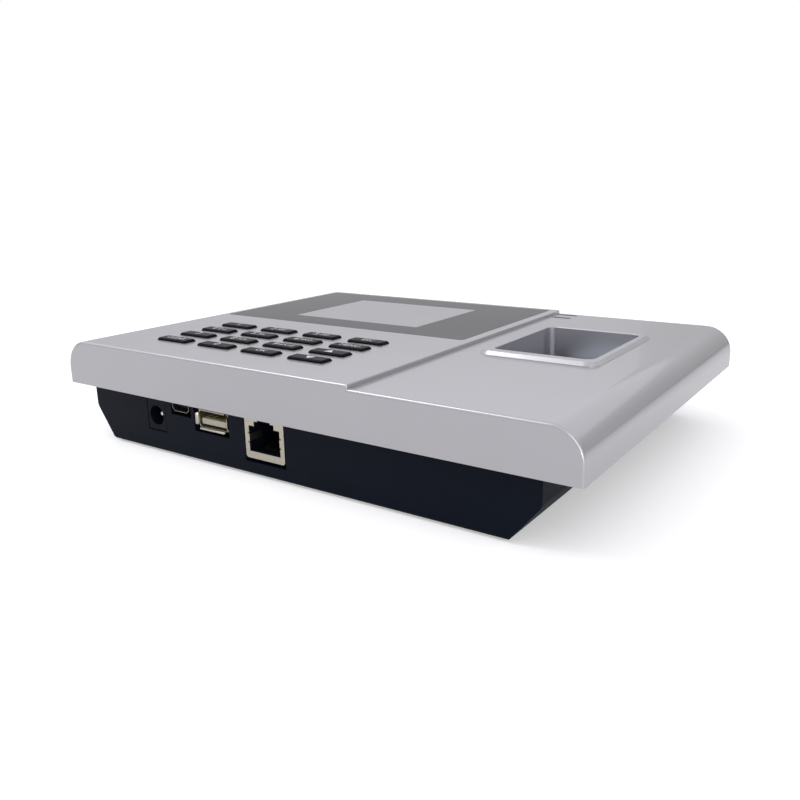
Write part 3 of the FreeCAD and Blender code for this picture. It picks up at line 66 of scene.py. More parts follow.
camera = bpy.data.objects.new("camera", bpy.data.cameras.new("camera"))
camera.data.lens = LENS
camera.data.clip_start = 0.01
camera.location = CAMERA_PLACE
camera.rotation_mode = "QUATERNION"
turn = CAMERA_AIM.to_track_quat("-Z", "Y")
camera.rotation_quaternion = turn @ Quaternion((0, 0, 1), CAMERA_ROLL)
scene.collection.objects.link(camera)
scene.camera = camera
scene.view_settings.view_transform = "Standard"
print("camera", [round(value, 3) for value in camera.location])

# %% [markdown]
# ## Shader sums
# A finish is a small network of nodes. Written one node at a time it is long and hard to read, so a
# value in the network is wrapped in a class that understands + - * and comparisons: each of these
# adds the Math node that does it. Every other node comes from one method.

# %% Shader values and node builder
class Value:
    """One output socket of a node network, on which ordinary sums can be written."""

    def __init__(self, network, socket):
        self.network = network
        self.socket = socket

    def __add__(self, other):
        return self.network.sum("ADD", self, other)

    def __sub__(self, other):
        return self.network.sum("SUBTRACT", self, other)

    def __rsub__(self, other):
        return self.network.sum("SUBTRACT", other, self)

    def __mul__(self, other):
        return self.network.sum("MULTIPLY", self, other)

    def __gt__(self, other):
        return self.network.sum("GREATER_THAN", self, other)

    def __lt__(self, other):
        return self.network.sum("LESS_THAN", self, other)

    __radd__ = __add__
    __rmul__ = __mul__


class Network:
    """A node tree to which nodes are added by type, settings and inputs."""

    def __init__(self, tree):
        self.tree = tree
        tree.nodes.clear()

    def node(self, kind, settings=None, inputs=None, out=0):
        """Adds one node: settings are set first, then each input is given its number or its link."""
        made = self.tree.nodes.new("ShaderNode" + kind)
        for name, value in (settings or {}).items():
            if name == "stops":
                set_stops(made.color_ramp, value)
            else:
                setattr(made, name, value)
        for key, value in (inputs or {}).items():
            if isinstance(value, Value):
                self.tree.links.new(value.socket, made.inputs[key])
            else:
                made.inputs[key].default_value = value
        return Value(self, made.outputs[out]) if made.outputs else None

    def sum(self, operation, first, second):
        return self.node("Math", {"operation": operation}, {0: first, 1: second})

    def blend(self, factor, first, second):
        """A colour between two others."""
        return self.node("Mix", {"data_type": "RGBA"}, {0: factor, 6: first, 7: second}, out=2)

    def noise(self, place, size, detail=2.0):
        """Soft random patches about one size across, from 0 to 1."""
        return self.node("TexNoise", None, {"Vector": place, "Scale": 1 / size, "Detail": detail})

    def cells(self, place, size):
        """A random number for each small cell, as for flakes in paint."""
        colour = self.node("TexVoronoi", None, {"Vector": place, "Scale": 1 / size}, out=1)
        return self.node("SeparateColor", None, {0: colour})

    def bump(self, height, distance, strength=1.0):
        """A normal that follows a height, whose full range is one distance."""
        return self.node("Bump", None, {"Strength": strength, "Distance": distance, "Height": height})


def set_stops(ramp, stops):
    """Gives a colour ramp its stops: pairs of a position and a grey or a colour."""
    while len(ramp.elements) < len(stops):
        ramp.elements.new(1.0)
    for element, (position, shade) in zip(ramp.elements, stops):
        element.position = position
        element.color = (*shade, 1.0) if isinstance(shade, tuple) else (shade, shade, shade, 1.0)


def rgb(red, green, blue):
    return (red, green, blue, 1.0)


# %% [markdown]
# ## Studio
# Satin silver shows little colour of its own: it shows the room. A pale floor and pale walls give
# the flat fields their even grey, and a soft lamp overhead draws the bright lines along the small
# rounds. A long grey screen curves round behind the clock on the right. The big round of the cover
# shows it as a darker band, with a thin dark line where the screen stands on the floor. The screens
# only show in reflections, and the floor shines a little more towards the camera than on the clock,
# so that the ground stays white.

# %% World, floor and lamps
WALL_STOPS = [(0.0, 0.52), (0.18, 0.54), (0.31, 1.12), (0.45, 1.15), (0.58, 0.66), (0.75, 1.0)]
WALL_TINT = np.array([1.0, 0.99, 1.035])

world = bpy.data.worlds.new("studio")
world.use_nodes = True
scene.world = world
sky = Network(world.node_tree)
direction = sky.node("TexCoord", out=0)
height = sky.node("SeparateXYZ", None, {0: direction}, out=2)
tinted = [(at, tuple(shade * WALL_TINT)) for at, shade in WALL_STOPS]
walls = sky.node("ValToRGB", {"stops": tinted}, {0: height})
seen = sky.node("LightPath", out=0)
backdrop = sky.blend(seen, walls, rgb(1.0, 1.0, 1.0))
light = sky.node("Background", None, {0: backdrop, 1: 1.0})
sky.node("OutputWorld", None, {0: light})


def studio_paint(name, shade, glow, seen_glow):
    """A matt paint that also shines evenly: one glow for what it lights, one where it is looked at."""
    material = bpy.data.materials.new(name)
    material.use_nodes = True
    network = Network(material.node_tree)
    looked_at = network.node("LightPath", out=0)
    shine = network.blend(looked_at, rgb(glow, glow, glow), rgb(seen_glow, seen_glow, seen_glow))
    surface = network.node("BsdfPrincipled", None, {
        "Base Color": rgb(shade, shade, shade), "Roughness": 0.8, "Specular IOR Level": 0.1,
        "Emission Color": shine, "Emission Strength": 1.0})
    network.node("OutputMaterial", None, {0: surface})
    return material


def stage_sheet(name, corners, faces, paint):
    """A piece of the studio from its corners and faces."""
    mesh = bpy.data.meshes.new(name)
    mesh.from_pydata(corners, [], faces)
    mesh.materials.append(paint)
    sheet = bpy.data.objects.new(name, mesh)
    scene.collection.objects.link(sheet)
    return sheet


def curved_screen(name, radius, start, stop, low, high, paint, steps=48):
    """An upright arc round the clock: points at one radius, by even turns to the right of +Y."""
    turns = np.radians(np.linspace(start, stop, steps + 1))
    flat = radius * np.stack([np.sin(turns), np.cos(turns)], -1)
    corners = np.concatenate([np.column_stack([flat, np.full(steps + 1, height)])
                              for height in (low, high)])
    first = np.arange(steps)
    faces = np.stack([first, first + 1, first + steps + 2, first + steps + 1], -1)
    screen = stage_sheet(name, corners, faces.tolist(), paint)
    for kind in ("camera", "diffuse", "shadow"):
        setattr(screen, "visible_" + kind, False)
    return screen


FLOOR_HALF = 6.0
FLOOR_SHADE = 0.76
FLOOR_GLOW = 0.06
FLOOR_SEEN_GLOW = 0.36
SCREEN_SHINE = 0.50
SCREEN_FOOT_SHINE = 0.16
floor_corners = [(x * FLOOR_HALF, y * FLOOR_HALF, 0) for x, y in ((-1, -1), (1, -1), (1, 1), (-1, 1))]
floor_paint = studio_paint("floor_paint", FLOOR_SHADE, FLOOR_GLOW, FLOOR_SEEN_GLOW)
stage_sheet("floor", floor_corners, [(0, 1, 2, 3)], floor_paint)
screen_paint = studio_paint("screen_paint", 0.0, SCREEN_SHINE, SCREEN_SHINE)
foot_paint = studio_paint("foot_paint", 0.0, SCREEN_FOOT_SHINE, SCREEN_FOOT_SHINE)
curved_screen("grey_screen", 1.5, -14, 62, 0.0, 0.56, screen_paint)
curved_screen("screen_foot", 1.4, -14, 62, 0.0, 0.075, foot_paint)


def softbox(name, place, target, size, power):
    lamp = bpy.data.lights.new(name, "AREA")
    lamp.shape = "RECTANGLE"
    lamp.size, lamp.size_y = size
    lamp.energy = power
    box = bpy.data.objects.new(name, lamp)
    box.location = place
    box.rotation_mode = "QUATERNION"
    box.rotation_quaternion = (Vector(target) - Vector(place)).to_track_quat("-Z", "Y")
    scene.collection.objects.link(box)
    return box


softbox("overhead_lamp", (-0.62, -0.34, 0.9), (0, 0, 0), (0.5, 0.5), 3.2)
softbox("side_lamp", (0.75, -0.75, 0.75), (0, 0, 0), (0.6, 0.6), 2.2)
softbox("corner_lamp", (0.83, -0.60, 0.12), (0.09, -0.06, 0.03), (0.34, 0.16), 1.8)

# %% [markdown]
# ## Finishes
# Every finish starts from a place on the piece in metres, so its grain has a real size: paint flakes
# of a tenth of a millimetre, the pits of a spark-eroded mould of a third. What stays the same over
# the whole surface is set on the shader's own sockets.

# %% Start and end of a finish
FINISH = {}


def start_finish(name):
    """A named material, its empty network, and the place on the piece in metres."""
    material = bpy.data.materials.new("finish_" + name)
    material.use_nodes = True
    network = Network(material.node_tree)
    FINISH[name] = material
    return network, network.node("TexCoord", None, None, out=3)


def end_finish(network, colour, roughness, normal=None, **steady):
    """The shader itself: colour, roughness and normal may vary, the rest is steady."""
    inputs = {"Base Color": colour, "Roughness": roughness}
    if normal is not None:
        inputs["Normal"] = normal
    inputs.update({name.replace("_", " "): value for name, value in steady.items()})
    surface = network.node("BsdfPrincipled", None, inputs)
    network.node("OutputMaterial", None, {0: surface})


# %% [markdown]
# ### Silver paint
# The cover is moulded plastic sprayed with satin silver: aluminium flakes in a clear binder. Flakes
# differ a little in brightness, the film has a faint orange peel, and the binder leaves the
# reflections soft. A metallic base with a random grey per flake gives this without any picture.

# %% Silver paint
def silver_paint():
    network, place = start_finish("silver_paint")
    flakes = network.cells(place, 0.1 * MM)
    drift = network.noise(place, 35 * MM)
    shade = flakes * 0.35 + drift * 0.65
    colour = network.blend(shade, rgb(0.398, 0.396, 0.414), rgb(0.446, 0.444, 0.462))
    peel = network.noise(place, 1.6 * MM)
    rough = 0.32 + drift * 0.04 + flakes * 0.02
    grain = network.bump(peel + flakes * 0.2, 0.002 * MM, 0.4)
    end_finish(network, colour, rough, grain, Metallic=0.8, Coat_Weight=0.55, Coat_Roughness=0.07)


silver_paint()


# %% [markdown]
# ### Moulded plastics and rubbers
# The tub comes from a spark-eroded mould, so its skin is a field of tiny rounded pits. Socket
# bodies, boards' parts and rubber differ from it only in colour, sheen and the size of the grain,
# so one function makes them all.

# %% Plastics and rubbers
def moulded(name, dark, pale, rough, grain, depth, **steady):
    """A moulded skin: two close colours in soft patches, and pits of one size and depth."""
    network, place = start_finish(name)
    patches = network.noise(place, 9 * MM)
    pits = network.noise(place, grain, 3.0)
    colour = network.blend(patches * 0.6 + pits * 0.4, rgb(*dark), rgb(*pale))
    end_finish(network, colour, rough + patches * 0.06, network.bump(pits, depth), **steady)


moulded("black_plastic", (0.0012, 0.0028, 0.0070), (0.0030, 0.0055, 0.0115), 0.44, 0.3 * MM,
        0.010 * MM, Specular_IOR_Level=0.08)
moulded("key_rubber", (0.0012, 0.0014, 0.0020), (0.0030, 0.0034, 0.0046), 0.32, 0.25 * MM,
        0.003 * MM, Specular_IOR_Level=0.06)
moulded("foot_rubber", (0.010, 0.010, 0.010), (0.022, 0.022, 0.022), 0.78, 0.4 * MM, 0.02 * MM,
        Specular_IOR_Level=0.3)
moulded("socket_plastic", (0.0012, 0.0024, 0.0055), (0.0028, 0.0048, 0.0095), 0.40, 0.2 * MM,
        0.004 * MM, Specular_IOR_Level=0.08)
moulded("chip_plastic", (0.010, 0.010, 0.011), (0.022, 0.022, 0.024), 0.5, 0.15 * MM, 0.004 * MM)
moulded("white_plastic", (0.36, 0.34, 0.26), (0.44, 0.42, 0.33), 0.45, 0.3 * MM, 0.004 * MM)
moulded("lamp_plastic", (0.60, 0.60, 0.50), (0.74, 0.72, 0.60), 0.25, 0.3 * MM, 0.002 * MM)
moulded("smoked_plastic", (0.010, 0.011, 0.014), (0.018, 0.019, 0.024), 0.16, 0.5 * MM, 0.001 * MM)
moulded("speaker_paper", (0.020, 0.019, 0.018), (0.045, 0.042, 0.038), 0.9, 0.5 * MM, 0.05 * MM)
moulded("ribbon_film", (0.55, 0.55, 0.54), (0.68, 0.68, 0.67), 0.35, 0.6 * MM, 0.003 * MM)


# %% [markdown]
# ### Metals
# The socket shells are sheet steel plated with nickel, which is slightly yellow beside the silver
# paint. Plated sheet shows a soft, uneven sheen with fine scratches. The small service socket is
# given a darker grey plate, and the jack's pin is polished.

# %% Metals
def metal(name, dark, pale, rough, grain):
    """Plated sheet: two close colours in fine patches, and scratches in the sheen."""
    network, place = start_finish(name)
    patches = network.noise(place, 1.2 * MM)
    scratches = network.noise(place, grain, 4.0)
    colour = network.blend(patches, rgb(*dark), rgb(*pale))
    sheen = rough + patches * 0.08 + scratches * 0.06
    end_finish(network, colour, sheen, network.bump(scratches, 0.003 * MM), Metallic=1.0)


metal("nickel", (0.42, 0.39, 0.32), (0.55, 0.52, 0.44), 0.24, 0.15 * MM)
# A darker, greyer nickel, used for the service socket's shell.
metal("dull_nickel", (0.20, 0.20, 0.20), (0.28, 0.28, 0.28), 0.30, 0.15 * MM)
metal("polished_nickel", (0.80, 0.80, 0.80), (0.88, 0.88, 0.88), 0.30, 0.15 * MM)
metal("steel", (0.36, 0.36, 0.37), (0.50, 0.50, 0.51), 0.28, 0.12 * MM)
metal("gold_plate", (0.52, 0.37, 0.16), (0.66, 0.49, 0.22), 0.22, 0.1 * MM)


# %% [markdown]
# ### Circuit board
# A green lacquer over copper tracks: the tracks show as slightly paler, slightly raised bands that
# run square to each other. Steps of a coarse noise stand for the poured copper areas.

# %% Circuit board
def circuit_board():
    network, place = start_finish("circuit_board")
    poured = network.noise(place, 7 * MM, 0.0) > 0.5
    tracks = network.node("TexBrick", {"offset": 0.5}, {"Vector": place, "Scale": 260.0,
                          "Mortar Size": 0.06, "Color1": rgb(0, 0, 0), "Color2": rgb(0, 0, 0),
                          "Mortar": rgb(1, 1, 1)}, out=1)
    copper = poured * 0.6 + tracks * 0.4
    colour = network.blend(copper, rgb(0.004, 0.045, 0.018), rgb(0.012, 0.110, 0.045))
    end_finish(network, colour, 0.34, network.bump(copper, 0.03 * MM), Coat_Weight=0.3)


circuit_board()


# %% [markdown]
# ### Screen window and glasses
# The black window is clear acrylic printed black on its underside, with a clear field over the
# display. Unlit, the display behind it is an even grey. Seen from outside both lie under one glossy
# face, so one finish does it: a gloss over two colours, with the printed edge between them. The
# finger glass is pale and is given a faint glow, painted light that is no lamp: it lights the walls
# of the well from below.

# %% Screen window and glasses
DISPLAY_LENGTH = 57.0 * MM
DISPLAY_DEPTH = 44.2 * MM
DISPLAY_SHIFT_Y = -0.8 * MM

window_low, window_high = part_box("screen_window")
window_middle = (window_low + window_high) / 2


def inside(network, value, middle, half):
    """One within half of the middle and nothing beyond, from the distance to the middle."""
    offset = network.sum("ABSOLUTE", value - middle, 0.0)
    return offset < half


def black_glass():
    network, place = start_finish("black_glass")
    across = network.node("SeparateXYZ", None, {0: place}, out=0)
    along = network.node("SeparateXYZ", None, {0: place}, out=1)
    field = (inside(network, across, window_middle.x, DISPLAY_LENGTH / 2)
             * inside(network, along, window_middle.y + DISPLAY_SHIFT_Y, DISPLAY_DEPTH / 2))
    cloud = network.noise(place, 20 * MM)
    grey = network.blend(cloud, rgb(0.335, 0.335, 0.350), rgb(0.375, 0.375, 0.390))
    black = network.blend(cloud, rgb(0.004, 0.004, 0.006), rgb(0.008, 0.008, 0.011))
    film = network.noise(place, 0.8 * MM)
    end_finish(network, network.blend(field, black, grey), 0.05 + film * 0.03,
               network.bump(film, 0.0008 * MM))


def clear_glass(name, dark, pale, rough, glow=0.0):
    network, place = start_finish(name)
    cloud = network.noise(place, 6 * MM)
    smear = network.noise(place, 1.5 * MM, 4.0)
    colour = network.blend(cloud, rgb(*dark), rgb(*pale))
    end_finish(network, colour, rough + smear * 0.1, network.bump(smear, 0.001 * MM), Coat_Weight=0.4,
               Emission_Color=rgb(0.75, 0.86, 1.0), Emission_Strength=glow)


black_glass()
clear_glass("display_glass", (0.20, 0.21, 0.20), (0.26, 0.27, 0.26), 0.08)
# The sensor glass glows as painted light, to brighten the walls of the well from below.
clear_glass("sensor_glass", (0.36, 0.40, 0.47), (0.44, 0.48, 0.56), 0.30, 0.35)
print(len(FINISH), "finishes")

# %% [markdown]
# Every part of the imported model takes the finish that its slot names, also those that a finer
# piece stands for later.

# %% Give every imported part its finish
for part in nodes.values():
    for holder in part.material_slots:
        name = holder.material.name.split(".")[0]
        holder.link = "OBJECT"
        holder.material = FINISH[name]

# %% [markdown]
# ## Soft edges on the imported parts
# A imported part is loose triangles, each shaded by itself. The large parts are copied, their corners
# welded, and their faces smoothed except where they meet at a real edge. Weighted normals keep the
# flat fields flat and let the small rounds carry the highlight. The copies stand in the same place
# and keep the same finish, but for the service socket, which is given a darker grey plate.

# %% Polished copies
SHARP = math.radians(34)
WELD = 0.001 * MM


def finish_piece(piece, slot, body):
    """Gives a piece the finish that its slot names, and its body."""
    scene.collection.objects.link(piece)
    piece.data.materials.clear()
    piece.data.materials.append(FINISH[slot])
    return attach(piece, body)


def smooth(mesh):
    """Smooth shading, broken where two faces meet at a sharp angle."""
    mesh.polygons.foreach_set("use_smooth", np.ones(len(mesh.polygons), bool))
    mesh.set_sharp_from_angle(angle=SHARP)


def polished(name, body="clock"):
    """A welded, smooth-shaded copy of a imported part, which stands for it."""
    source = nodes[name].data
    loose = bmesh.new()
    loose.from_mesh(source)
    bmesh.ops.remove_doubles(loose, verts=loose.verts, dist=WELD)
    spots = np.array([vertex.co for vertex in loose.verts])
    faces = [[vertex.index for vertex in face.verts] for face in loose.faces]
    loose.free()
    mesh = bpy.data.meshes.new(name + "_skin")
    mesh.from_pydata(spots, [], faces)
    smooth(mesh)
    piece = bpy.data.objects.new(name + "_skin", mesh)
    slot = source.materials[0].name.split(".")[0]
    finish_piece(piece, slot, body)
    weighted = piece.modifiers.new("weighted", "WEIGHTED_NORMAL")
    weighted.keep_sharp = True
    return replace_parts(piece, name)


POLISHED = ["front_cover", "rear_housing", "screen_window", "sensor_housing", "sensor_glass",
            "indicator_window", "network_socket_shell", "network_socket_core",
            "stick_socket_tongue", "service_socket_shell",
            "service_socket_tongue", "power_jack_body", "speaker_basket", "speaker_magnet",
            "case_screws", "key_mat", "network_socket_wires", "stick_socket_contacts"]
for name in POLISHED:
    skin = polished(name)
    if name == "service_socket_shell":
        skin.data.materials[0] = FINISH["dull_nickel"]
print(len(POLISHED), "parts welded and smoothed")

# %% [markdown]
# ## Surfaces from rings
# Key caps, feet and screw heads are all the same kind of shape: an outline carried up through a
# list of heights while it grows or shrinks. Stacking the rings in one array gives every corner of
# the surface at once, and one rule joins them into faces.

# %% Rings, faces and new pieces
def outline(half_x, half_y, radius, steps=5):
    """A rectangle with round corners: each corner's middle plus the radius, turned by a quarter."""
    quarter = np.linspace(0, math.pi / 2, steps + 1)
    angles = (np.arange(4)[:, None] * (math.pi / 2) + quarter).ravel()
    signs_x = np.repeat([1, -1, -1, 1], steps + 1)
    signs_y = np.repeat([1, 1, -1, -1], steps + 1)
    x = signs_x * (half_x - radius) + radius * np.cos(angles)
    y = signs_y * (half_y - radius) + radius * np.sin(angles)
    return np.stack([x, y], -1)


def circle(radius, steps=48):
    """Points at equal turns round the origin, at one distance from it."""
    angles = np.arange(steps) * (2 * math.pi / steps)
    return radius * np.stack([np.cos(angles), np.sin(angles)], -1)


def lift(flat, height):
    """An outline with a height as third coordinate."""
    return np.concatenate([flat, np.full((len(flat), 1), height)], 1)


def ring_stack(rings):
    """Corners and faces of stacked rings: quads between neighbours, and a fan over each end."""
    rings = np.asarray(rings, float)
    levels, count = rings.shape[:2]
    row, column = np.meshgrid(np.arange(levels - 1), np.arange(count), indexing="ij")
    across = (column + 1) % count
    quads = np.stack([row * count + column, row * count + across,
                      (row + 1) * count + across, (row + 1) * count + column], -1).reshape(-1, 4)
    corners = np.concatenate([rings.reshape(-1, 3), rings[:1].mean(1), rings[-1:].mean(1)])
    first = np.arange(count)
    following = (first + 1) % count
    low, high = levels * count, levels * count + 1
    last = (levels - 1) * count
    bottom = np.stack([np.full(count, low), following, first], -1)
    top = np.stack([np.full(count, high), last + first, last + following], -1)
    return corners, quads.tolist() + bottom.tolist() + top.tolist()


def new_piece(name, shapes, slot, body="clock"):
    """One mesh from several shapes, each its corners and faces."""
    corners, faces, start = [], [], 0
    for points, quads in shapes:
        corners.append(points)
        faces += [[index + start for index in face] for face in quads]
        start += len(points)
    mesh = bpy.data.meshes.new(name)
    mesh.from_pydata(np.concatenate(corners), [], faces)
    smooth(mesh)
    return finish_piece(bpy.data.objects.new(name, mesh), slot, body)


def spots_of(name):
    """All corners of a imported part, in metres."""
    mesh = nodes[name].data
    spots = np.empty(len(mesh.vertices) * 3)
    mesh.vertices.foreach_get("co", spots)
    return spots.reshape(-1, 3)


# %% [markdown]
# ## Keys
# Each key is one moulding in black silicone: a hard bevelled cap above the cover, a flange below it
# and a small foot that closes the contact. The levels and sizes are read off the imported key, and
# the rings add what moulding gives: softened edges and a top that is slightly hollow.

# %% Key caps
KEY_COUNT = 16
CAP_CORNER = 0.6 * MM
EDGE_SOFT = 0.05 * MM
CAP_HOLLOW = 0.05 * MM


def half_size(spots, low, high):
    """Half the length and depth of what lies between two heights."""
    part = spots[(spots[:, 2] > low) & (spots[:, 2] < high)]
    return (part[:, 0].max() - part[:, 0].min()) / 2, (part[:, 1].max() - part[:, 1].min()) / 2


def key_rings(spots):
    """Rings from the foot up to the cap, each a rounded outline at the height of its level."""
    middle = (spots.min(0) + spots.max(0)) / 2
    heights = np.unique(np.round(spots[:, 2], 5))
    foot, flange_low, flange_top, bevel, top = heights[[0, 1, 2, 3, -1]]
    foot_x, foot_y = half_size(spots, foot - WELD, foot + WELD)
    flange_x, flange_y = half_size(spots, flange_low - WELD, flange_top + WELD)
    cap_x, cap_y = half_size(spots, bevel - WELD, bevel + WELD)
    inset = top - bevel
    levels = [
        (foot_x, foot_y, 0.3 * MM, foot),
        (foot_x, foot_y, 0.3 * MM, flange_low),
        (flange_x, flange_y, 0.5 * MM, flange_low),
        (flange_x, flange_y, 0.5 * MM, flange_top),
        (cap_x, cap_y, CAP_CORNER, flange_top),
        (cap_x, cap_y, CAP_CORNER, bevel - EDGE_SOFT),
        (cap_x - EDGE_SOFT * 0.3, cap_y - EDGE_SOFT * 0.3, CAP_CORNER, bevel + EDGE_SOFT * 0.5),
        (cap_x - inset + EDGE_SOFT, cap_y - inset + EDGE_SOFT, CAP_CORNER - inset * 0.6,
         top - EDGE_SOFT),
        (cap_x - inset, cap_y - inset, CAP_CORNER - inset * 0.8, top - EDGE_SOFT * 0.25),
        (cap_x - inset - EDGE_SOFT * 1.5, cap_y - inset - EDGE_SOFT * 1.5,
         CAP_CORNER - inset * 0.9, top),
    ]
    rings = [lift(outline(*level[:3]), level[3]) for level in levels]
    rim = rings[-1]
    for share in (0.85, 0.6, 0.3):
        ring = rim * [share, share, 1]
        ring[:, 2] = top - CAP_HOLLOW * (1 - share ** 2)
        rings.append(ring)
    return np.array(rings) + [middle[0], middle[1], 0]


for index in range(1, KEY_COUNT + 1):
    name = f"key_{index}"
    cap = new_piece(f"key_cap_{index}", [ring_stack(key_rings(spots_of(name)))], "key_rubber",
                    f"{name}_press")
    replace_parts(cap, name)
print(KEY_COUNT, "keys of", len(cap.data.polygons), "faces")

# %% [markdown]
# ### Marks on the keys
# The marks are printed on the caps in pale ink: digits with their letters, arrows and short words in
# a plain face. Each is a text object made into a thin mesh, laid flat on its cap and moved with it.
# A digit with letters is two texts, the letters smaller and to the right.

# %% Key marks
MARKS = ["CLEAR", "0", "OK", "arrow_down", "7", "8 TUV", "9 WXYZ", "arrow_up",
         "4 GHI", "5 JKL", "6 MNO", "MENU", "1", "2 ABC", "3 DEF", "ESC"]
WORD_HEIGHT = 2.9 * MM
DIGIT_HEIGHT = 3.8 * MM
LETTER_HEIGHT = 2.3 * MM
ARROW_SIZE = 3.4 * MM
MARK_THICK = 0.02 * MM


def printed_ink():
    network, place = start_finish("printed_ink")
    worn = network.noise(place, 0.5 * MM, 4.0)
    colour = network.blend(worn, rgb(0.52, 0.52, 0.53), rgb(0.66, 0.66, 0.67))
    end_finish(network, colour, 0.5, network.bump(worn, 0.002 * MM))


def text_mesh(words, size, shift=0.0):
    """Corners and faces of flat lettering about the origin, slightly thick, moved by a shift."""
    curve = bpy.data.curves.new("mark", "FONT")
    curve.body = words
    curve.size = size
    curve.align_x = "CENTER"
    curve.align_y = "CENTER"
    curve.extrude = MARK_THICK / 2
    holder = bpy.data.objects.new("mark", curve)
    scene.collection.objects.link(holder)
    bpy.context.view_layer.update()
    mesh = bpy.data.meshes.new_from_object(holder.evaluated_get(bpy.context.evaluated_depsgraph_get()))
    bpy.data.objects.remove(holder)
    spots = np.array([vertex.co for vertex in mesh.vertices]) + [shift, 0, 0]
    return spots, [list(face.vertices) for face in mesh.polygons]


def arrow_mesh(size, way):
    """A flat triangle that points up or down: three corners, and the same three a little higher."""
    flat = np.array([(-0.5, -0.35 * way), (0.5, -0.35 * way), (0.0, 0.4 * way)]) * size
    flat = flat[::way]
    return ring_stack([lift(flat, -MARK_THICK / 2), lift(flat, MARK_THICK / 2)])


def mark_shapes(mark):
    """The flat shapes of one mark: an arrow, a word, or a digit with its letters."""
    if mark.startswith("arrow"):
        return [arrow_mesh(ARROW_SIZE, 1 if mark == "arrow_up" else -1)]
    if " " in mark:
        digit, letters = mark.split()
        width = LETTER_HEIGHT * 0.62 * len(letters)
        return [text_mesh(digit, DIGIT_HEIGHT, -width / 2 - 0.4 * MM),
                text_mesh(letters, LETTER_HEIGHT, DIGIT_HEIGHT * 0.35)]
    return [text_mesh(mark, DIGIT_HEIGHT if len(mark) == 1 else WORD_HEIGHT)]


printed_ink()
for index, mark in enumerate(MARKS, 1):
    low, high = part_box(f"key_{index}")
    spot = [(low.x + high.x) / 2, (low.y + high.y) / 2, high.z + MARK_THICK / 4]
    shapes = [(points + spot, faces) for points, faces in mark_shapes(mark)]
    piece = new_piece(f"key_mark_{index}", shapes, "key_rubber", f"key_{index}_press")
    piece.data.materials[0] = FINISH["printed_ink"]
print(len(MARKS), "marks")

# %% [markdown]
# ## Feet
# Four rubber discs are pressed into seats in the floor. Each stands on a rounded rim with a shallow
# hollow inside it, so that it grips: rings of one circle that shrinks towards the bottom edge.

# %% Rubber feet
def foot_shape(middle_x, middle_y, radius, low, high):
    """A disc from rings: up the hollow, over the rim, up the side, and in at the top."""
    profile = [(0.30, 0.30), (0.62, 0.28), (0.70, 0.10), (0.78, 0.0), (0.88, 0.0), (0.96, 0.10),
               (1.0, 0.28), (1.0, 1.0)]
    rings = [lift(circle(radius * share), low + (high - low) * rise) for share, rise in profile]
    return ring_stack(np.array(rings) + [middle_x, middle_y, 0])


spots = spots_of("rubber_feet")
radius = (spots[spots[:, 0] < 0][:, 0].max() - spots[:, 0].min()) / 2
low_x, low_y, low_z = spots.min(0)
high_x, high_y, high_z = spots.max(0)
feet = [foot_shape(x, y, radius, low_z, high_z)
        for x in (low_x + radius, high_x - radius) for y in (low_y + radius, high_y - radius)]
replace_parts(new_piece("feet", feet, "foot_rubber"), "rubber_feet")

# %% [markdown]
# ## Contact pin of the power jack
# A turned pin stands in the middle of the jack. Its tip is a small dome, which catches one round
# highlight. The profile is a straight side and a quarter circle, turned about the pin's own line.

# %% Contact pin
def turned(profile, steps=40):
    """A body turned about the Y line: each ring has the radius and the place of one profile point."""
    angles = np.arange(steps) * (2 * math.pi / steps)
    around = np.stack([np.cos(angles), np.zeros(steps), np.sin(angles)], -1)
    return np.array([around * radius + [0, place, 0] for radius, place in profile])


pin_low, pin_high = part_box("power_jack_pin")
pin_radius = (pin_high.x - pin_low.x) / 2
dome = np.radians(np.linspace(4, 90, 12))
pin_profile = [(pin_radius * math.sin(angle), pin_low.y + pin_radius * (1 - math.cos(angle)))
               for angle in dome] + [(pin_radius, pin_high.y)]
pin_spot = [(pin_low.x + pin_high.x) / 2, 0, (pin_low.z + pin_high.z) / 2]
pin = new_piece("jack_pin", [ring_stack(turned(pin_profile) + pin_spot)], "nickel")
pin.data.materials[0] = FINISH["polished_nickel"]
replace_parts(pin, "power_jack_pin")

# %% [markdown]
# ## Shell of the stick socket
# The shell is folded from thin plated sheet: a cup with a flat back, and at its mouth four lips that
# spread outwards and guide the plug in. The cup is one stack of rings that goes forwards outside
# and back again inside. Each lip is a stack of thin flat rings along a curved path, and its end is
# narrower so that its corners are round.

# %% Stick socket shell
SHEET = 0.3 * MM
CUP_CORNER = 0.45 * MM
LIP_DEEP = 1.2 * MM
LIP_MARGIN = 0.9 * MM
LIP_FLARE = 0.5 * MM
SIDE_FLARE = 0.6 * MM
TIP_START = 0.7
PACKED_FLARE = 0.75 * MM

low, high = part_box("stick_socket_shell")
mouth_x, mouth_z = (low.x + high.x) / 2, (low.z + high.z) / 2
half_x = (high.x - low.x) / 2 - PACKED_FLARE
half_z = (high.z - low.z) / 2 - PACKED_FLARE


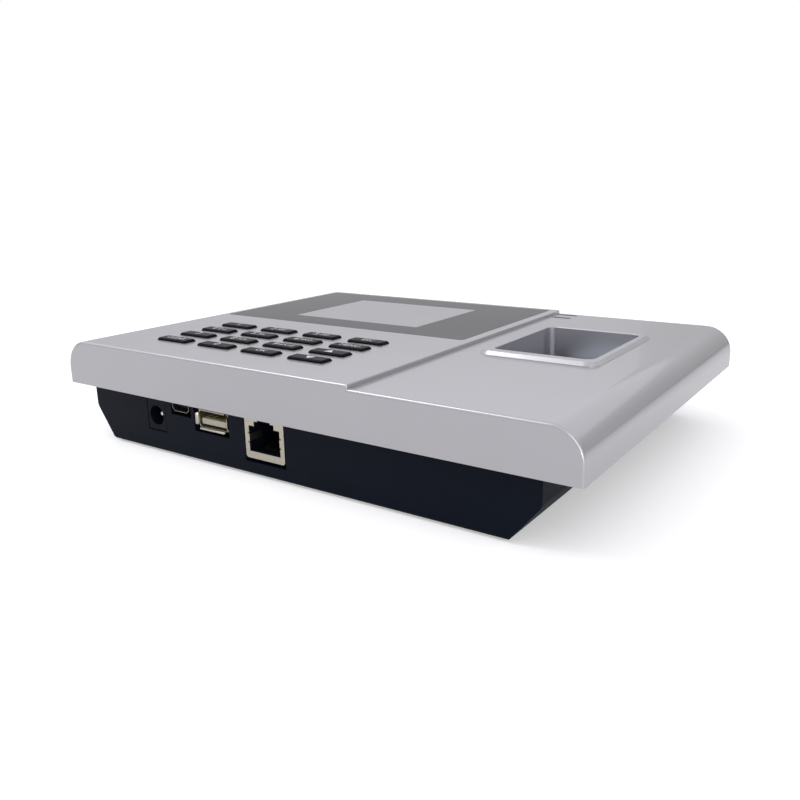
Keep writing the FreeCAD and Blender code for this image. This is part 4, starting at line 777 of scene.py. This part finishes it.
def facing_front(flat, place):
    """An outline stood upright: its second coordinate becomes the height, at one place along Y."""
    return np.stack([flat[:, 0] + mouth_x, np.full(len(flat), place), flat[:, 1] + mouth_z], -1)


def shell_cup():
    """Outside from back to front, then inside from front to back: one closed skin with a wall."""
    outer = outline(half_x, half_z, CUP_CORNER)
    inner = outline(half_x - SHEET, half_z - SHEET, CUP_CORNER - SHEET * 0.8)
    rim = outline(half_x - SHEET / 2, half_z - SHEET / 2, CUP_CORNER - SHEET / 3)
    front = low.y + LIP_DEEP * 0.9
    return ring_stack([facing_front(inner, high.y - SHEET), facing_front(inner, front + SHEET / 3),
                       facing_front(rim, front), facing_front(outer, front + SHEET / 3),
                       facing_front(outer, high.y)][::-1])


def shell_lip(across, sideways, reach, flare, steps=10):
    """A lip along t from 0 to 1: forwards by LIP_DEEP * t and outwards by flare * t squared.

    Past TIP_START its width and thickness shrink along an arc, which rounds the end."""
    along = np.linspace(0, 1, steps + 1)
    rings = []
    for t in along:
        tip = math.sqrt(1 - 0.75 * max(0.0, (t - TIP_START) / (1 - TIP_START)) ** 2)
        flat = outline(across * (0.8 + 0.2 * tip), SHEET / 2 * (0.4 + 0.6 * tip), SHEET * 0.19, 2)
        flat[:, 1] += reach - SHEET / 2 + flare * t ** 2
        flat = flat @ np.array(sideways)
        rings.append(facing_front(flat, low.y + LIP_DEEP * (1 - t)))
    return ring_stack(rings)


UPRIGHT, DOWN = ((1, 0), (0, 1)), ((-1, 0), (0, -1))
TO_RIGHT, TO_LEFT = ((0, -1), (1, 0)), ((0, 1), (-1, 0))
lips = [shell_lip(half_x - LIP_MARGIN, UPRIGHT, half_z, LIP_FLARE),
        shell_lip(half_x - LIP_MARGIN, DOWN, half_z, LIP_FLARE),
        shell_lip(half_z - LIP_MARGIN, TO_RIGHT, half_x, SIDE_FLARE),
        shell_lip(half_z - LIP_MARGIN, TO_LEFT, half_x, SIDE_FLARE)]
shell = new_piece("stick_shell", [shell_cup()] + lips, "nickel")
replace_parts(shell, "stick_socket_shell")
print("stick socket shell of", len(shell.data.polygons), "faces")
